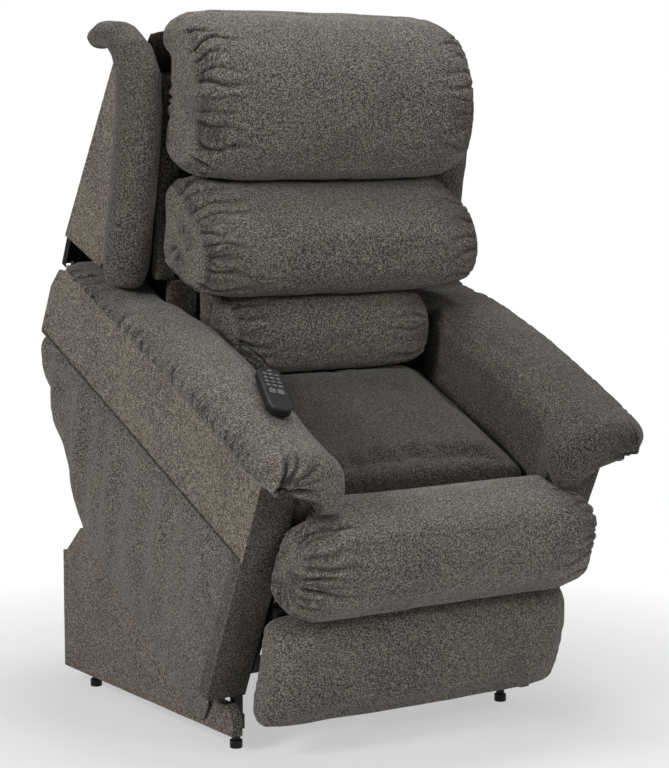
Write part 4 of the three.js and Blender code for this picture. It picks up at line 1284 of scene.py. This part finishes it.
# %% The curtain's folds
CURTAIN_TOP, CURTAIN_FALL = 328, 400
SIDE_FOLD, REAR_FOLD, REAR_BOW, HEM_TUCK = 0.0085, 0.005, 0.025, 0.005
points = points_of(curtain)
x, v, w = chair_coordinates(points).T
t = np.clip((CURTAIN_TOP - w) / CURTAIN_FALL, 0, 1)
sideways = fade((np.abs(x) - 300) / 80)
outwards = np.sign(x) * sideways
side_wave = np.sin(v / 21 + 1.3 * np.sin(v / 67)) + 0.6 * np.sin(v / 12.5 + 2)
rear_wave = np.sin(x / 19 + 1.1 * np.sin(x / 71))
shape = np.sin(np.pi * t**0.6) ** 1.2
fall = fade((v - 90) / 420) * 0.8 + 0.2
points[:, 0] += outwards * (side_wave * SIDE_FOLD + 0.001) * shape * fall
points[:, 0] -= outwards * HEM_TUCK * np.exp(-(((t - 0.02) / 0.035) ** 2))
bow = REAR_BOW * np.cos(np.pi / 2 * t) ** 0.8 + REAR_FOLD * rear_wave * shape
points[:, 1] += (1 - sideways) * bow
move_points(curtain, points)
print("the curtain bows by", REAR_BOW, "m")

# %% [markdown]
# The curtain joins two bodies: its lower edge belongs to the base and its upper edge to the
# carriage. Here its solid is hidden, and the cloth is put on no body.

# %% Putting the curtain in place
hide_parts("lift_curtain")
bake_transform(curtain)
wear(curtain, "cushion")
print(curtain.name, "hangs between base and carriage")

# %% [markdown]
# The light in the picture is soft. Large lamps from the left, from the front and from above give
# such soft shadows, where small ones would draw hard edges.

# %% Lamps
def lamp(name, stand, target, size, power):
    data = bpy.data.lights.new(name, "AREA")
    data.shape = "RECTANGLE"
    data.size, data.size_y = size, size
    data.energy = power
    light = bpy.data.objects.new(name, data)
    scene.collection.objects.link(light)
    light.location = stand
    direction = Vector(target) - Vector(stand)
    light.rotation_euler = direction.to_track_quat("-Z", "Y").to_euler()


lamp("key", (-4.0, -1.2, 2.6), (0, 0, 0.7), 1.2, 84)
lamp("front", (0.7, -4.0, 2.5), (0, 0, 0.7), 1.4, 46)
lamp("top", (0.3, 0.1, 3.7), (0, 0, 0.8), 1.2, 36)
print("three lamps")

# %% [markdown]
# The chair stands before white, but more light would wash the cloth out. So the surroundings are
# white only to rays that come straight from the camera, by a gloss or through glass, and dim for
# the light that falls on the chair.

# %% White surroundings
SURROUND_LIGHT = 0.12


def shown_white(tree):
    """1 for what the camera sees straight, in a gloss or through glass, and 0 for light."""
    rays = tree.nodes.new("ShaderNodeLightPath").outputs
    seen = rays["Is Camera Ray"]
    for kind in ("Is Glossy Ray", "Is Transmission Ray"):
        seen = add(tree, "Math", "Value", {0: seen, 1: rays[kind]}, operation="MAXIMUM")
    return seen


world = bpy.data.worlds.new("surround")
world.use_nodes = True
scene.world = world
tree = world.node_tree
level = {"To Min": SURROUND_LIGHT, "To Max": 1.0, "Value": shown_white(tree)}
strength = add(tree, "MapRange", "Result", level)
feed(tree.nodes["Background"], {"Color": WHITE, "Strength": strength})
print("surroundings", SURROUND_LIGHT)

# %% [markdown]
# The floor has to carry a soft shadow near the feet and vanish into white further out. It is
# matt, mixed with a white glow whose share grows with the distance. The glow is kept from the
# light on the chair in the same way.

# %% The floor
NEAR, FAR = 0.55, 1.5  # metres from the middle, where the floor starts and ends to whiten
edit = bmesh.new()
bmesh.ops.create_grid(edit, x_segments=1, y_segments=1, size=12)
floor = mesh_piece("floor", edit)
floor_look = bpy.data.materials.new("floor_white")
floor_look.use_nodes = True
tree = floor_look.node_tree
tree.nodes.remove(tree.nodes["Principled BSDF"])
matt = add(tree, "BsdfDiffuse", "BSDF", {"Color": (0.85, 0.85, 0.85, 1)})
glow = add(tree, "Emission", "Emission", {"Color": WHITE, "Strength": 1.0})
from_middle = add(tree, "TexCoord", "Object", {})
distance = add(tree, "VectorMath", "Value", {0: from_middle}, operation="LENGTH")
whitening = {"From Min": NEAR, "From Max": FAR, "To Min": 0.5, "To Max": 1.0}
whiter = add(tree, "MapRange", "Result", {"Value": distance, **whitening})
share = add(tree, "Math", "Value", {0: shown_white(tree), 1: whiter}, operation="MULTIPLY")
surface = add(tree, "MixShader", "Shader", {"Fac": share, 1: matt, 2: glow})
feed(tree.nodes["Material Output"], {"Surface": surface})
floor.data.materials.append(floor_look)
scene.view_settings.view_transform = "Standard"
print("floor whitens from", NEAR, "to", FAR, "m")
